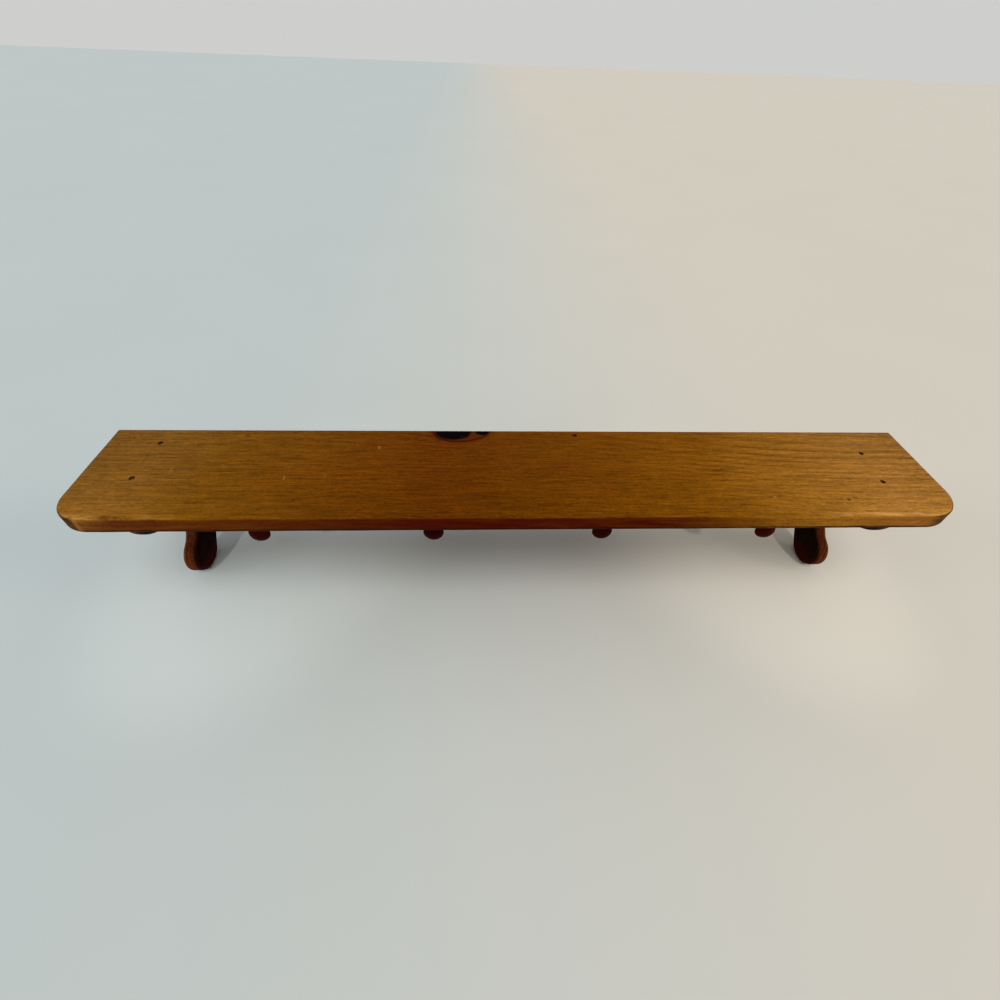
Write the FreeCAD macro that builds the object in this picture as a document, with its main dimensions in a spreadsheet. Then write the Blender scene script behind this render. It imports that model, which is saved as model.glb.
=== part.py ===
import FreeCAD, Part
import math
import os
import Sketcher
from FreeCAD import Placement, Rotation, Vector

# Shaker peg rail with shelf: a pine board on two scroll-sawn brackets, with a
# rail of four turned pegs between them. Glued and nailed, hung on a wall.
# Millimetres. X runs along the rail, the wall is the plane Y = 0, the front
# faces -Y, and Z = 0 is the line of the wall screws.

# Driving dimensions
SIZES = {
    # Shelf board
    "shelf_length": 914.4,
    "shelf_depth": 139.7,
    "shelf_thickness": 19.05,
    "shelf_left_corner_radius": 33.3375,
    "shelf_right_corner_radius": 38.1,
    "shelf_arris_radius": 3.2,
    # Brackets
    "shelf_overhang": 50.8,
    "bracket_setback": 12.7,
    "bracket_thickness": 19.05,
    "bracket_arris_radius": 4.7625,
    "nose_radius": 44.45,
    "hollow_share": 1.023,
    "foot_drop": 31.75,
    "foot_radius": 22.0,
    "foot_reach": 63.4,
    "foot_flat": 5.4,
    "foot_rear_slope": 52.0,
    "cove_radius": 14.0,
    # Rail
    "rail_height": 114.3,
    "rail_thickness": 19.05,
    "rail_arris_radius": 3.2,
    # Wall screw holes
    "wall_screw_spacing": 406.4,
    "wall_screw_drop": 25.4,
    "wall_screw_hole": 4.8,
    "wall_screw_head": 9.6,
    # Pegs
    "peg_count": 4,
    "peg_end_margin": 88.9,
    "peg_rise": 50.8,
    "peg_exposed_length": 73.0,
    "peg_tenon_diameter": 12.7,
    "peg_tenon_length": 15.875,
    "peg_tenon_chamfer": 0.8,
    "peg_shoulder_diameter": 19.05,
    "peg_shoulder_length": 3.2,
    "peg_neck_diameter": 10.4,
    "peg_cove_radius": 6.0,
    "peg_knob_diameter": 23.8125,
    "peg_rim_radius": 3.2,
    "peg_dome_height": 7.6,
    "peg_hole_clearance": 0.1,
    "peg_hole_spare": 0.6,
    # Finishing nails
    "nail_length": 44.45,
    "nail_shank_diameter": 2.3,
    "nail_head_diameter": 3.4,
    "nail_head_length": 2.0,
    "nail_rim_height": 0.7,
    "nail_dimple_diameter": 1.4,
    "nail_dimple_depth": 0.4,
    "nail_point_length": 4.0,
    "nail_set_depth": 1.0,
    "nail_clearance": 0.05,
    "nail_tip_spare": 0.5,
    # Nail places, as they were driven by hand
    "left_rear_nail_from_wall": 23.7,
    "left_rear_nail_off_centre": -1.8,
    "left_front_nail_from_wall": 81.2,
    "left_front_nail_off_centre": -4.9,
    "right_rear_nail_from_wall": 40.1,
    "right_rear_nail_off_centre": 0.3,
    "right_front_nail_from_wall": 88.3,
    "right_front_nail_off_centre": -3.1,
    "rail_nail_from_middle": 66.0,
    "rail_nail_from_wall": 8.0,
    "upper_bracket_nail_share": 0.25,
    "lower_bracket_nail_share": 0.75,
}

LEFT = -1
RIGHT = 1
SIDE_NAMES = {LEFT: "left", RIGHT: "right"}

# How close an edge must lie to a plane to count as on it
MATCH = 0.001

# Formulas that more than one piece uses
BRACKET_SPAN = "(sizes.shelf_length - 2 * sizes.shelf_overhang)"
BRACKET_MIDDLE = f"({BRACKET_SPAN} - sizes.bracket_thickness) / 2"
BRACKET_DEPTH = "(sizes.shelf_depth - sizes.bracket_setback)"
RAIL_LENGTH = f"({BRACKET_SPAN} - 2 * sizes.bracket_thickness)"
PEG_ROW = f"({RAIL_LENGTH} - 2 * sizes.peg_end_margin)"
BRACKET_HEIGHT = "(sizes.rail_height + sizes.foot_drop)"
UNDERSIDE = "sizes.wall_screw_drop"
SHELF_TOP = "(sizes.wall_screw_drop + sizes.shelf_thickness)"
RAIL_MIDDLE = "sizes.rail_thickness / 2"
# The hollow is a little more than a half round that fills the space between
# the nose's circle and the foot's
HOLLOW_RADIUS = (
    f"sizes.hollow_share / 2 * (hypot({BRACKET_DEPTH} - sizes.nose_radius - sizes.foot_reach; "
    f"{BRACKET_HEIGHT} - sizes.foot_radius) - sizes.nose_radius - sizes.foot_radius)"
)
NAIL_BORE = "(sizes.nail_shank_diameter / 2 + sizes.nail_clearance)"
NAIL_RECESS = "(sizes.nail_head_diameter / 2 + sizes.nail_clearance)"
NAIL_RECESS_DEPTH = "sizes.nail_set_depth + sizes.nail_head_length"
NAIL_REACH = "sizes.nail_set_depth + sizes.nail_length + sizes.nail_tip_spare"

# The nails that go down through the board, and the places of their centres
SHELF_NAILS = {
    f"shelf_nail_{side}_{row}": (
        f"{sign} * {BRACKET_MIDDLE} + sizes.{side}_{row}_nail_off_centre",
        f"-sizes.{side}_{row}_nail_from_wall",
    )
    for sign, side in SIDE_NAMES.items()
    for row in ("rear", "front")
}
RAIL_NAILS = {
    f"rail_nail_{side}": (
        f"{sign} * sizes.rail_nail_from_middle",
        "-sizes.rail_nail_from_wall",
    )
    for sign, side in SIDE_NAMES.items()
}

# The nails through each bracket's outer face, by their heights below the board
BRACKET_NAIL_DROPS = {
    level: f"sizes.rail_height * sizes.{level}_bracket_nail_share"
    for level in ("upper", "lower")
}


def make_sheet(doc):
    """Puts the driving dimensions in a spreadsheet, one alias a row."""
    sheet = doc.addObject("Spreadsheet::Sheet", "sizes")
    for row, (alias, size) in enumerate(SIZES.items(), 1):
        sheet.set(f"A{row}", alias)
        sheet.set(f"B{row}", str(size))
        sheet.setAlias(f"B{row}", alias)
    doc.recompute()
    return sheet


class Piece:
    """One wooden piece or nail: a body whose sizes are bound to the sheet."""

    def __init__(self, doc, sheet, name):
        self.doc = doc
        self.sheet = sheet
        self.name = name
        self.body = doc.addObject("PartDesign::Body", name)
        self.body.Label = name

    def value(self, formula):
        """The present value of a formula in the sheet's aliases."""
        return float(self.sheet.evalExpression(formula))

    def place(self, x, y, z, rotation=Rotation()):
        """Puts the body where three formulas say."""
        self.body.Placement = Placement(Vector(), rotation)
        for axis, formula in zip("xyz", (x, y, z)):
            self.body.setExpression(f"Placement.Base.{axis}", formula)

    def sketch(self, label, plane, offset=None):
        """A sketch on one of the body's own planes, moved along its normal."""
        sketch = self.body.newObject("Sketcher::SketchObject", f"{self.name}_{label}")
        features = self.body.Origin.OriginFeatures
        support = next(item for item in features if item.Role == plane)
        sketch.AttachmentSupport = [(support, "")]
        sketch.MapMode = "FlatFace"
        if offset is not None:
            sketch.setExpression("AttachmentOffset.Base.z", offset)
        return sketch

    def bind(self, sketch, name, kind, *where, formula):
        """Adds a constraint with a value and ties the value to a formula."""
        value = self.value(formula)
        if kind == "Angle":
            value = math.radians(value)
        index = sketch.addConstraint(Sketcher.Constraint(kind, *where, value))
        sketch.renameConstraint(index, name)
        sketch.setExpression(f"Constraints.{name}", formula)

    def bind_point(self, sketch, name, geometry, vertex, x, y):
        """Ties a sketch point to two formulas, measured from the origin."""
        self.bind(sketch, f"{name}_x", "DistanceX", -1, 1, geometry, vertex, formula=x)
        self.bind(sketch, f"{name}_y", "DistanceY", -1, 1, geometry, vertex, formula=y)

    def polygon(self, sketch, corners):
        """A closed outline of straight lines through named corners."""
        names = list(corners)
        points = {
            name: Vector(self.value(x), self.value(y), 0)
            for name, (x, y) in corners.items()
        }
        lines = {}
        for name, after in zip(names, names[1:] + names[:1]):
            lines[name] = sketch.addGeometry(Part.LineSegment(points[name], points[after]))
        for name, after in zip(names, names[1:] + names[:1]):
            sketch.addConstraint(Sketcher.Constraint("Coincident", lines[name], 2, lines[after], 1))
        for name, (x, y) in corners.items():
            self.bind_point(sketch, name, lines[name], 1, x, y)

    def circles(self, sketch, centres, radius):
        """One circle of the same radius at each named centre."""
        size = self.value(radius)
        for name, (x, y) in centres.items():
            centre = Vector(self.value(x), self.value(y), 0)
            circle = sketch.addGeometry(Part.Circle(centre, Vector(0, 0, 1), size))
            self.bind_point(sketch, name, circle, 3, x, y)
            self.bind(sketch, f"{name}_radius", "Radius", circle, formula=radius)

    def pad(self, sketch, length, symmetric=False):
        """Pads a sketch by a length, to both sides alike if asked."""
        pad = self.body.newObject("PartDesign::Pad", f"{self.name}_pad")
        pad.Profile = sketch
        pad.SideType = "Symmetric" if symmetric else "One side"
        pad.setExpression("Length", length)
        self.doc.recompute()
        return pad

    def revolve(self, sketch):
        """Turns a sketch once round its vertical axis."""
        turned = self.body.newObject("PartDesign::Revolution", f"{self.name}_turning")
        turned.Profile = sketch
        turned.ReferenceAxis = (sketch, ["V_Axis"])
        self.doc.recompute()
        return turned

    def pocket(self, sketch, label, depth=None, reverse=False):
        """Cuts a sketch into the body, right through if no depth is given."""
        before = self.body.Shape.Volume
        pocket = self.body.newObject("PartDesign::Pocket", f"{self.name}_{label}_cut")
        pocket.Profile = sketch
        pocket.Reversed = reverse
        if depth is None:
            pocket.Type = "ThroughAll"
        else:
            pocket.setExpression("Length", depth)
        self.doc.recompute()
        if not self.body.Shape.Volume < before:
            raise RuntimeError(f"{self.name}: the {label} cut removes nothing")
        return pocket

    def soften(self, label, kind, size_property, formula, test):
        """Rounds or bevels the edges of the body's tip that pass a test."""
        tip = self.body.Tip
        names = [
            f"Edge{number}"
            for number, edge in enumerate(tip.Shape.Edges, 1)
            if test(edge)
        ]
        if not names:
            raise RuntimeError(f"{self.name}: no edge to soften for {label}")
        feature = self.body.newObject(kind, f"{self.name}_{label}")
        feature.Base = (tip, names)
        feature.setExpression(size_property, formula)
        self.doc.recompute()
        return feature

    def fillet(self, label, radius, test):
        """Rounds the edges that pass a test."""
        return self.soften(label, "PartDesign::Fillet", "Radius", radius, test)

    def chamfer(self, label, size, test):
        """Bevels the edges that pass a test."""
        return self.soften(label, "PartDesign::Chamfer", "Size", size, test)


def lies_on(edge, axis, level):
    """Whether an edge lies in the plane where a coordinate has one value."""
    low = getattr(edge.BoundBox, f"{axis}Min")
    high = getattr(edge.BoundBox, f"{axis}Max")
    return abs(low - level) < MATCH and abs(high - level) < MATCH


def make_shelf_board(doc, sheet):
    """The board: rounded front corners, soft arrises and its nail holes."""
    piece = Piece(doc, sheet, "shelf_board")
    outline = piece.sketch("outline", "XY_Plane")
    piece.polygon(outline, {
        "back_left": ("-sizes.shelf_length / 2", "0"),
        "front_left": ("-sizes.shelf_length / 2", "-sizes.shelf_depth"),
        "front_right": ("sizes.shelf_length / 2", "-sizes.shelf_depth"),
        "back_right": ("sizes.shelf_length / 2", "0"),
    })
    piece.pad(outline, "sizes.shelf_thickness")

    depth = piece.value("sizes.shelf_depth")
    thickness = piece.value("sizes.shelf_thickness")
    for side, side_name in SIDE_NAMES.items():
        piece.fillet(
            f"{side_name}_corner",
            f"sizes.shelf_{side_name}_corner_radius",
            lambda edge: lies_on(edge, "X", side * piece.value("sizes.shelf_length / 2"))
            and lies_on(edge, "Y", -depth),
        )
    piece.fillet(
        "arrises",
        "sizes.shelf_arris_radius",
        lambda edge: (lies_on(edge, "Z", 0) or lies_on(edge, "Z", thickness))
        and not lies_on(edge, "Y", 0),
    )

    nails = SHELF_NAILS | RAIL_NAILS
    bores = piece.sketch("nail_bores", "XY_Plane", "sizes.shelf_thickness")
    piece.circles(bores, nails, NAIL_BORE)
    piece.pocket(bores, "nail_bore")
    recesses = piece.sketch("nail_recesses", "XY_Plane", "sizes.shelf_thickness")
    piece.circles(recesses, nails, NAIL_RECESS)
    piece.pocket(recesses, "nail_recess", NAIL_RECESS_DEPTH)
    piece.place("0", "0", UNDERSIDE)
    return piece


def make_peg_rail(doc, sheet):
    """The rail: blind peg holes, countersunk wall screw holes, nail holes."""
    piece = Piece(doc, sheet, "peg_rail")
    section = piece.sketch("section", "YZ_Plane")
    piece.polygon(section, {
        "top_wall": ("0", "0"),
        "top_front": ("-sizes.rail_thickness", "0"),
        "foot_front": ("-sizes.rail_thickness", "-sizes.rail_height"),
        "foot_wall": ("0", "-sizes.rail_height"),
    })
    piece.pad(section, RAIL_LENGTH, symmetric=True)

    front = -piece.value("sizes.rail_thickness")
    foot = -piece.value("sizes.rail_height")
    piece.fillet(
        "lower_arris",
        "sizes.rail_arris_radius",
        lambda edge: lies_on(edge, "Y", front) and lies_on(edge, "Z", foot),
    )

    # Peg holes, the first one drilled at the left and repeated to the right
    first_peg = {"first_peg": (
        f"-{PEG_ROW} / 2",
        "sizes.peg_rise - sizes.rail_height",
    )}
    drilling = piece.sketch("peg_hole", "XZ_Plane", "sizes.rail_thickness")
    piece.circles(drilling, first_peg, "sizes.peg_tenon_diameter / 2 + sizes.peg_hole_clearance")
    hole = piece.pocket(drilling, "peg_hole", "sizes.peg_tenon_length + sizes.peg_hole_spare")
    row = piece.body.newObject("PartDesign::LinearPattern", "peg_rail_peg_holes")
    row.Originals = [hole]
    row.Direction = (drilling, ["H_Axis"])
    row.setExpression("Length", PEG_ROW)
    row.setExpression("Occurrences", "sizes.peg_count")
    piece.body.Tip = row
    doc.recompute()

    # Wall screw holes, countersunk from the front
    screws = {
        f"screw_{side}": (f"{sign} * sizes.wall_screw_spacing / 2", "-sizes.wall_screw_drop")
        for sign, side in SIDE_NAMES.items()
    }
    screw_radius = piece.value("sizes.wall_screw_hole / 2")
    screw_sketch = piece.sketch("screw_holes", "XZ_Plane", "sizes.rail_thickness")
    piece.circles(screw_sketch, screws, "sizes.wall_screw_hole / 2")
    piece.pocket(screw_sketch, "screw_hole")
    piece.chamfer(
        "countersinks",
        "(sizes.wall_screw_head - sizes.wall_screw_hole) / 2",
        lambda edge: lies_on(edge, "Y", front)
        and abs(edge.BoundBox.XLength / 2 - screw_radius) < MATCH,
    )

    # Nail holes, down from the board and in from both ends
    top_bores = piece.sketch("top_bores", "XY_Plane")
    piece.circles(top_bores, RAIL_NAILS, NAIL_BORE)
    piece.pocket(top_bores, "top_bore", f"{NAIL_REACH} - sizes.shelf_thickness")
    end_nails = {
        level: (f"-{RAIL_MIDDLE}", f"-{drop}")
        for level, drop in BRACKET_NAIL_DROPS.items()
    }
    for side, side_name in SIDE_NAMES.items():
        end_bores = piece.sketch(f"{side_name}_bores", "YZ_Plane", f"{side} * {RAIL_LENGTH} / 2")
        piece.circles(end_bores, end_nails, NAIL_BORE)
        piece.pocket(
            end_bores,
            f"{side_name}_bore",
            f"{NAIL_REACH} - sizes.bracket_thickness",
            reverse=side == LEFT,
        )
    piece.place("0", "0", UNDERSIDE)
    return piece


def arc_between(centre, radius, start, end):
    """An arc of a circle, counterclockwise between two angles in radians."""
    circle = Part.Circle(Vector(*centre, 0), Vector(0, 0, 1), radius)
    return Part.ArcOfCircle(circle, start, end)


def direction(start, end):
    """The angle of the way from one point to another."""
    return math.atan2(end[1] - start[1], end[0] - start[0])


def moved(point, angle, length):
    """A point a length away at an angle."""
    return (point[0] + length * math.cos(angle), point[1] + length * math.sin(angle))


def draw_bracket_outline(piece, sketch):
    """The scroll outline: nose, hollow, foot and the cove behind it.

    Y points left to right in the sketch, from the front to the wall at 0, and
    the board's underside is at 0 above. The places worked out here only start
    the sketch: its constraints hold it to the sheet.
    """
    depth = piece.value(BRACKET_DEPTH)
    height = piece.value(BRACKET_HEIGHT)
    back = piece.value("sizes.rail_height")
    nose = piece.value("sizes.nose_radius")
    hollow = piece.value(HOLLOW_RADIUS)
    foot = piece.value("sizes.foot_radius")
    reach = piece.value("sizes.foot_reach")
    flat = piece.value("sizes.foot_flat")
    slope = math.radians(piece.value("sizes.foot_rear_slope"))
    cove = piece.value("sizes.cove_radius")

    # The hollow's centre touches both the nose and the foot from the front
    nose_centre = (nose - depth, 0)
    foot_centre = (-reach, foot - height)
    gap = math.dist(nose_centre, foot_centre)
    along = ((nose + hollow) ** 2 - (foot + hollow) ** 2 + gap ** 2) / (2 * gap)
    swing = math.acos(along / (nose + hollow))
    down = direction(nose_centre, foot_centre) + math.tau
    hollow_centre = moved(nose_centre, down - swing, nose + hollow)

    # The straight rise behind the foot, and the cove that ends it
    rear_centre = (flat - reach, foot - height)
    rise_start = moved(rear_centre, slope - math.pi / 2, foot)
    cove_height = -back - cove
    lift = (cove_height + cove * math.cos(slope) - rise_start[1]) / math.sin(slope)
    rise_end = moved(rise_start, slope, lift)
    cove_centre = (rise_end[0] + cove * math.sin(slope), cove_height)

    top = sketch.addGeometry(Part.LineSegment(Vector(), Vector(-depth, 0, 0)))
    nose_arc = sketch.addGeometry(
        arc_between(nose_centre, nose, math.pi, direction(nose_centre, hollow_centre) + math.tau))
    hollow_arc = sketch.addGeometry(arc_between(
        hollow_centre,
        hollow,
        direction(hollow_centre, foot_centre),
        direction(hollow_centre, nose_centre),
    ))
    foot_arc = sketch.addGeometry(
        arc_between(foot_centre, foot, direction(foot_centre, hollow_centre), 1.5 * math.pi))
    sole = sketch.addGeometry(
        Part.LineSegment(Vector(-reach, -height, 0), Vector(flat - reach, -height, 0)))
    rear_arc = sketch.addGeometry(
        arc_between(rear_centre, foot, 1.5 * math.pi, 1.5 * math.pi + slope))
    rise = sketch.addGeometry(Part.LineSegment(Vector(*rise_start, 0), Vector(*rise_end, 0)))
    cove_arc = sketch.addGeometry(
        arc_between(cove_centre, cove, math.pi / 2, slope + math.pi / 2))
    under = sketch.addGeometry(
        Part.LineSegment(Vector(cove_centre[0], -back, 0), Vector(0, -back, 0)))
    wall = sketch.addGeometry(Part.LineSegment(Vector(0, -back, 0), Vector()))

    # Each end meets the next, smoothly but at the two square corners
    origin = (-1, 1)
    sketch.addConstraint([
        Sketcher.Constraint("Coincident", top, 1, *origin),
        Sketcher.Constraint("Coincident", wall, 2, *origin),
        Sketcher.Constraint("Coincident", under, 2, wall, 1),
        Sketcher.Constraint("Coincident", top, 2, nose_arc, 1),
        Sketcher.Constraint("Horizontal", top),
        Sketcher.Constraint("Vertical", wall),
        Sketcher.Constraint("Horizontal", under),
        Sketcher.Constraint("Horizontal", sole),
        Sketcher.Constraint("PointOnObject", nose_arc, 3, -1),
        Sketcher.Constraint("Tangent", nose_arc, 2, hollow_arc, 2),
        Sketcher.Constraint("Tangent", hollow_arc, 1, foot_arc, 1),
        Sketcher.Constraint("Tangent", foot_arc, 2, sole, 1),
        Sketcher.Constraint("Tangent", sole, 2, rear_arc, 1),
        Sketcher.Constraint("Equal", foot_arc, rear_arc),
        Sketcher.Constraint("Tangent", rear_arc, 2, rise, 1),
        Sketcher.Constraint("Tangent", rise, 2, cove_arc, 2),
        Sketcher.Constraint("Tangent", cove_arc, 1, under, 1),
    ])
    bind = piece.bind
    bind(sketch, "depth", "DistanceX", *origin, top, 2, formula=f"-{BRACKET_DEPTH}")
    bind(sketch, "back", "DistanceY", *origin, wall, 1, formula="-sizes.rail_height")
    bind(sketch, "height", "DistanceY", *origin, sole, 1, formula=f"-{BRACKET_HEIGHT}")
    bind(sketch, "reach", "DistanceX", *origin, foot_arc, 3, formula="-sizes.foot_reach")
    bind(sketch, "flat", "DistanceX", sole, 1, sole, 2, formula="sizes.foot_flat")
    bind(sketch, "nose", "Radius", nose_arc, formula="sizes.nose_radius")
    bind(sketch, "hollow", "Radius", hollow_arc, formula=HOLLOW_RADIUS)
    bind(sketch, "foot", "Radius", foot_arc, formula="sizes.foot_radius")
    bind(sketch, "cove", "Radius", cove_arc, formula="sizes.cove_radius")
    bind(sketch, "slope", "Angle", rise, formula="sizes.foot_rear_slope")


def make_bracket(doc, sheet, side):
    """A bracket, routed round on both faces, with its nail holes."""
    side_name = SIDE_NAMES[side]
    piece = Piece(doc, sheet, f"bracket_{side_name}")
    outline = piece.sketch("outline", "YZ_Plane")
    draw_bracket_outline(piece, outline)
    piece.pad(outline, "sizes.bracket_thickness", symmetric=True)

    half = piece.value("sizes.bracket_thickness / 2")
    piece.fillet(
        "arrises",
        "sizes.bracket_arris_radius",
        lambda edge: (lies_on(edge, "X", -half) or lies_on(edge, "X", half))
        and not lies_on(edge, "Y", 0)
        and not lies_on(edge, "Z", 0),
    )

    # Nails from the board, down into the top edge
    top_nails = {
        row: (
            f"sizes.{side_name}_{row}_nail_off_centre",
            f"-sizes.{side_name}_{row}_nail_from_wall",
        )
        for row in ("rear", "front")
    }
    top_bores = piece.sketch("top_bores", "XY_Plane")
    piece.circles(top_bores, top_nails, NAIL_BORE)
    piece.pocket(top_bores, "top_bore", f"{NAIL_REACH} - sizes.shelf_thickness")

    # Nails from the outer face, through into the rail's end
    side_nails = {
        level: (f"-{RAIL_MIDDLE}", f"-{drop}")
        for level, drop in BRACKET_NAIL_DROPS.items()
    }
    outer_face = f"{side} * sizes.bracket_thickness / 2"
    side_bores = piece.sketch("side_bores", "YZ_Plane", outer_face)
    piece.circles(side_bores, side_nails, NAIL_BORE)
    piece.pocket(side_bores, "side_bore", reverse=side == LEFT)
    recesses = piece.sketch("side_recesses", "YZ_Plane", outer_face)
    piece.circles(recesses, side_nails, NAIL_RECESS)
    piece.pocket(recesses, "side_recess", NAIL_RECESS_DEPTH, reverse=side == LEFT)

    piece.place(f"{side} * {BRACKET_MIDDLE}", "0", UNDERSIDE)
    return piece


def draw_peg_profile(piece, sketch):
    """Half the turned outline of a peg, in radius and length.

    Length 0 is the shoulder, the tenon is above it, and the knob's dome ends
    below. The places worked out here only start the sketch: its constraints
    hold it to the sheet.
    """
    exposed = piece.value("sizes.peg_exposed_length")
    tenon = piece.value("sizes.peg_tenon_diameter / 2")
    tenon_length = piece.value("sizes.peg_tenon_length")
    bevel = piece.value("sizes.peg_tenon_chamfer")
    shoulder = piece.value("sizes.peg_shoulder_diameter / 2")
    band = piece.value("sizes.peg_shoulder_length")
    neck = piece.value("sizes.peg_neck_diameter / 2")
    cove = piece.value("sizes.peg_cove_radius")
    knob = piece.value("sizes.peg_knob_diameter / 2")
    rim = piece.value("sizes.peg_rim_radius")
    dome_height = piece.value("sizes.peg_dome_height")

    # Dome, rim and cove touch in turn, and the long taper ends at the neck
    rim_centre = (knob - rim, dome_height - exposed)
    dome = ((knob - rim) ** 2 + dome_height ** 2 - rim ** 2) / (2 * (dome_height - rim))
    dome_centre = (0, dome - exposed)
    cove_lift = math.sqrt((cove + rim) ** 2 - (neck + cove - rim_centre[0]) ** 2)
    cove_centre = (neck + cove, rim_centre[1] + cove_lift)
    run = -band - cove_centre[1]
    waist = shoulder - neck
    taper = (run ** 2 + waist ** 2) / (2 * waist)
    taper_centre = (neck + taper, cove_centre[1])

    axis = sketch.addGeometry(
        Part.LineSegment(Vector(0, tenon_length, 0), Vector(0, -exposed, 0)))
    dome_arc = sketch.addGeometry(
        arc_between(dome_centre, dome, -math.pi / 2, direction(dome_centre, rim_centre)))
    rim_arc = sketch.addGeometry(arc_between(
        rim_centre,
        rim,
        direction(dome_centre, rim_centre),
        direction(rim_centre, cove_centre),
    ))
    cove_arc = sketch.addGeometry(
        arc_between(cove_centre, cove, math.pi, direction(rim_centre, cove_centre) + math.pi))
    taper_arc = sketch.addGeometry(arc_between(
        taper_centre,
        taper,
        direction(taper_centre, (shoulder, -band)),
        math.pi,
    ))
    corners = [
        (shoulder, -band),
        (shoulder, 0),
        (tenon, 0),
        (tenon, tenon_length - bevel),
        (tenon - bevel, tenon_length),
        (0, tenon_length),
    ]
    sides = [
        sketch.addGeometry(Part.LineSegment(Vector(*start, 0), Vector(*end, 0)))
        for start, end in zip(corners, corners[1:])
    ]
    band_side, shoulder_face, tenon_side, tenon_bevel, tenon_end = sides

    horizontal_axis = -1
    vertical_axis = -2
    sketch.addConstraint([
        Sketcher.Constraint("PointOnObject", axis, 1, vertical_axis),
        Sketcher.Constraint("Vertical", axis),
        Sketcher.Constraint("Coincident", axis, 2, dome_arc, 1),
        Sketcher.Constraint("PointOnObject", dome_arc, 3, vertical_axis),
        Sketcher.Constraint("Tangent", dome_arc, 2, rim_arc, 1),
        Sketcher.Constraint("Tangent", rim_arc, 2, cove_arc, 2),
        Sketcher.Constraint("Horizontal", cove_arc, 1, cove_arc, 3),
        Sketcher.Constraint("Tangent", cove_arc, 1, taper_arc, 2),
        Sketcher.Constraint("Coincident", taper_arc, 1, band_side, 1),
        Sketcher.Constraint("Vertical", band_side),
        Sketcher.Constraint("PointOnObject", band_side, 2, horizontal_axis),
        Sketcher.Constraint("Horizontal", shoulder_face),
        Sketcher.Constraint("Vertical", tenon_side),
        Sketcher.Constraint("Horizontal", tenon_end),
        Sketcher.Constraint("Coincident", tenon_end, 2, axis, 1),
    ])
    for side, following in zip(sides, sides[1:]):
        sketch.addConstraint(Sketcher.Constraint("Coincident", side, 2, following, 1))

    bind = piece.bind
    origin = (-1, 1)
    radius = "sizes.peg_{}_diameter / 2"
    bind(sketch, "exposed", "DistanceY", *origin, axis, 2, formula="-sizes.peg_exposed_length")
    bind(sketch, "tenon_length", "DistanceY", *origin, axis, 1, formula="sizes.peg_tenon_length")
    bind(sketch, "tenon", "DistanceX", *origin, tenon_side, 1, formula=radius.format("tenon"))
    bind(sketch, "shoulder", "DistanceX", *origin, band_side, 1, formula=radius.format("shoulder"))
    bind(
        sketch, "band", "DistanceY", band_side, 1, band_side, 2,
        formula="sizes.peg_shoulder_length",
    )
    bind(sketch, "neck", "DistanceX", *origin, cove_arc, 1, formula=radius.format("neck"))
    bind(sketch, "cove", "Radius", cove_arc, formula="sizes.peg_cove_radius")
    bind(sketch, "rim", "Radius", rim_arc, formula="sizes.peg_rim_radius")
    bind(sketch, "dome", "DistanceY", axis, 2, rim_arc, 3, formula="sizes.peg_dome_height")
    bind(
        sketch, "knob", "DistanceX", *origin, rim_arc, 3,
        formula="sizes.peg_knob_diameter / 2 - sizes.peg_rim_radius",
    )
    bind(
        sketch, "bevel_x", "DistanceX", tenon_bevel, 2, tenon_bevel, 1,
        formula="sizes.peg_tenon_chamfer",
    )
    bind(
        sketch, "bevel_y", "DistanceY", tenon_bevel, 1, tenon_bevel, 2,
        formula="sizes.peg_tenon_chamfer",
    )


def make_peg(doc, sheet, number):
    """A turned peg, seated by its tenon in the rail, numbered from the left."""
    piece = Piece(doc, sheet, f"peg_{number}")
    profile = piece.sketch("profile", "XY_Plane")
    draw_peg_profile(piece, profile)
    piece.revolve(profile)
    piece.place(
        f"{PEG_ROW} * ({number - 1} / (sizes.peg_count - 1) - 1 / 2)",
        "-sizes.rail_thickness",
        f"{UNDERSIDE} - sizes.rail_height + sizes.peg_rise",
    )
    return piece


def make_nail(doc, sheet, name, x, y, z, rotation=Rotation()):
    """A finishing nail with a dimpled head, its head's top at the place."""
    piece = Piece(doc, sheet, name)
    profile = piece.sketch("profile", "XZ_Plane")
    shank = "sizes.nail_shank_diameter / 2"
    head = "sizes.nail_head_diameter / 2"
    piece.polygon(profile, {
        "dimple": ("0", "-sizes.nail_dimple_depth"),
        "dimple_edge": ("sizes.nail_dimple_diameter / 2", "0"),
        "head_edge": (head, "0"),
        "head_rim": (head, "-sizes.nail_rim_height"),
        "head_base": (shank, "-sizes.nail_head_length"),
        "shank_end": (shank, "sizes.nail_point_length - sizes.nail_length"),
        "tip": ("0", "-sizes.nail_length"),
    })
    piece.revolve(profile)
    piece.place(x, y, z, rotation)
    return piece


def make_nails(doc, sheet):
    """All ten nails, from above and from the two sides."""
    pieces = []
    sunk_top = f"{SHELF_TOP} - sizes.nail_set_depth"
    for name, (x, y) in (SHELF_NAILS | RAIL_NAILS).items():
        pieces.append(make_nail(doc, sheet, name, x, y, sunk_top))
    for side, side_name in SIDE_NAMES.items():
        sideways = Rotation(Vector(0, 1, 0), side * 90)
        for level, drop in BRACKET_NAIL_DROPS.items():
            pieces.append(make_nail(
                doc,
                sheet,
                f"bracket_nail_{side_name}_{level}",
                f"{side} * ({BRACKET_SPAN} / 2 - sizes.nail_set_depth)",
                f"-{RAIL_MIDDLE}",
                f"{UNDERSIDE} - {drop}",
                sideways,
            ))
    return pieces


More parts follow.
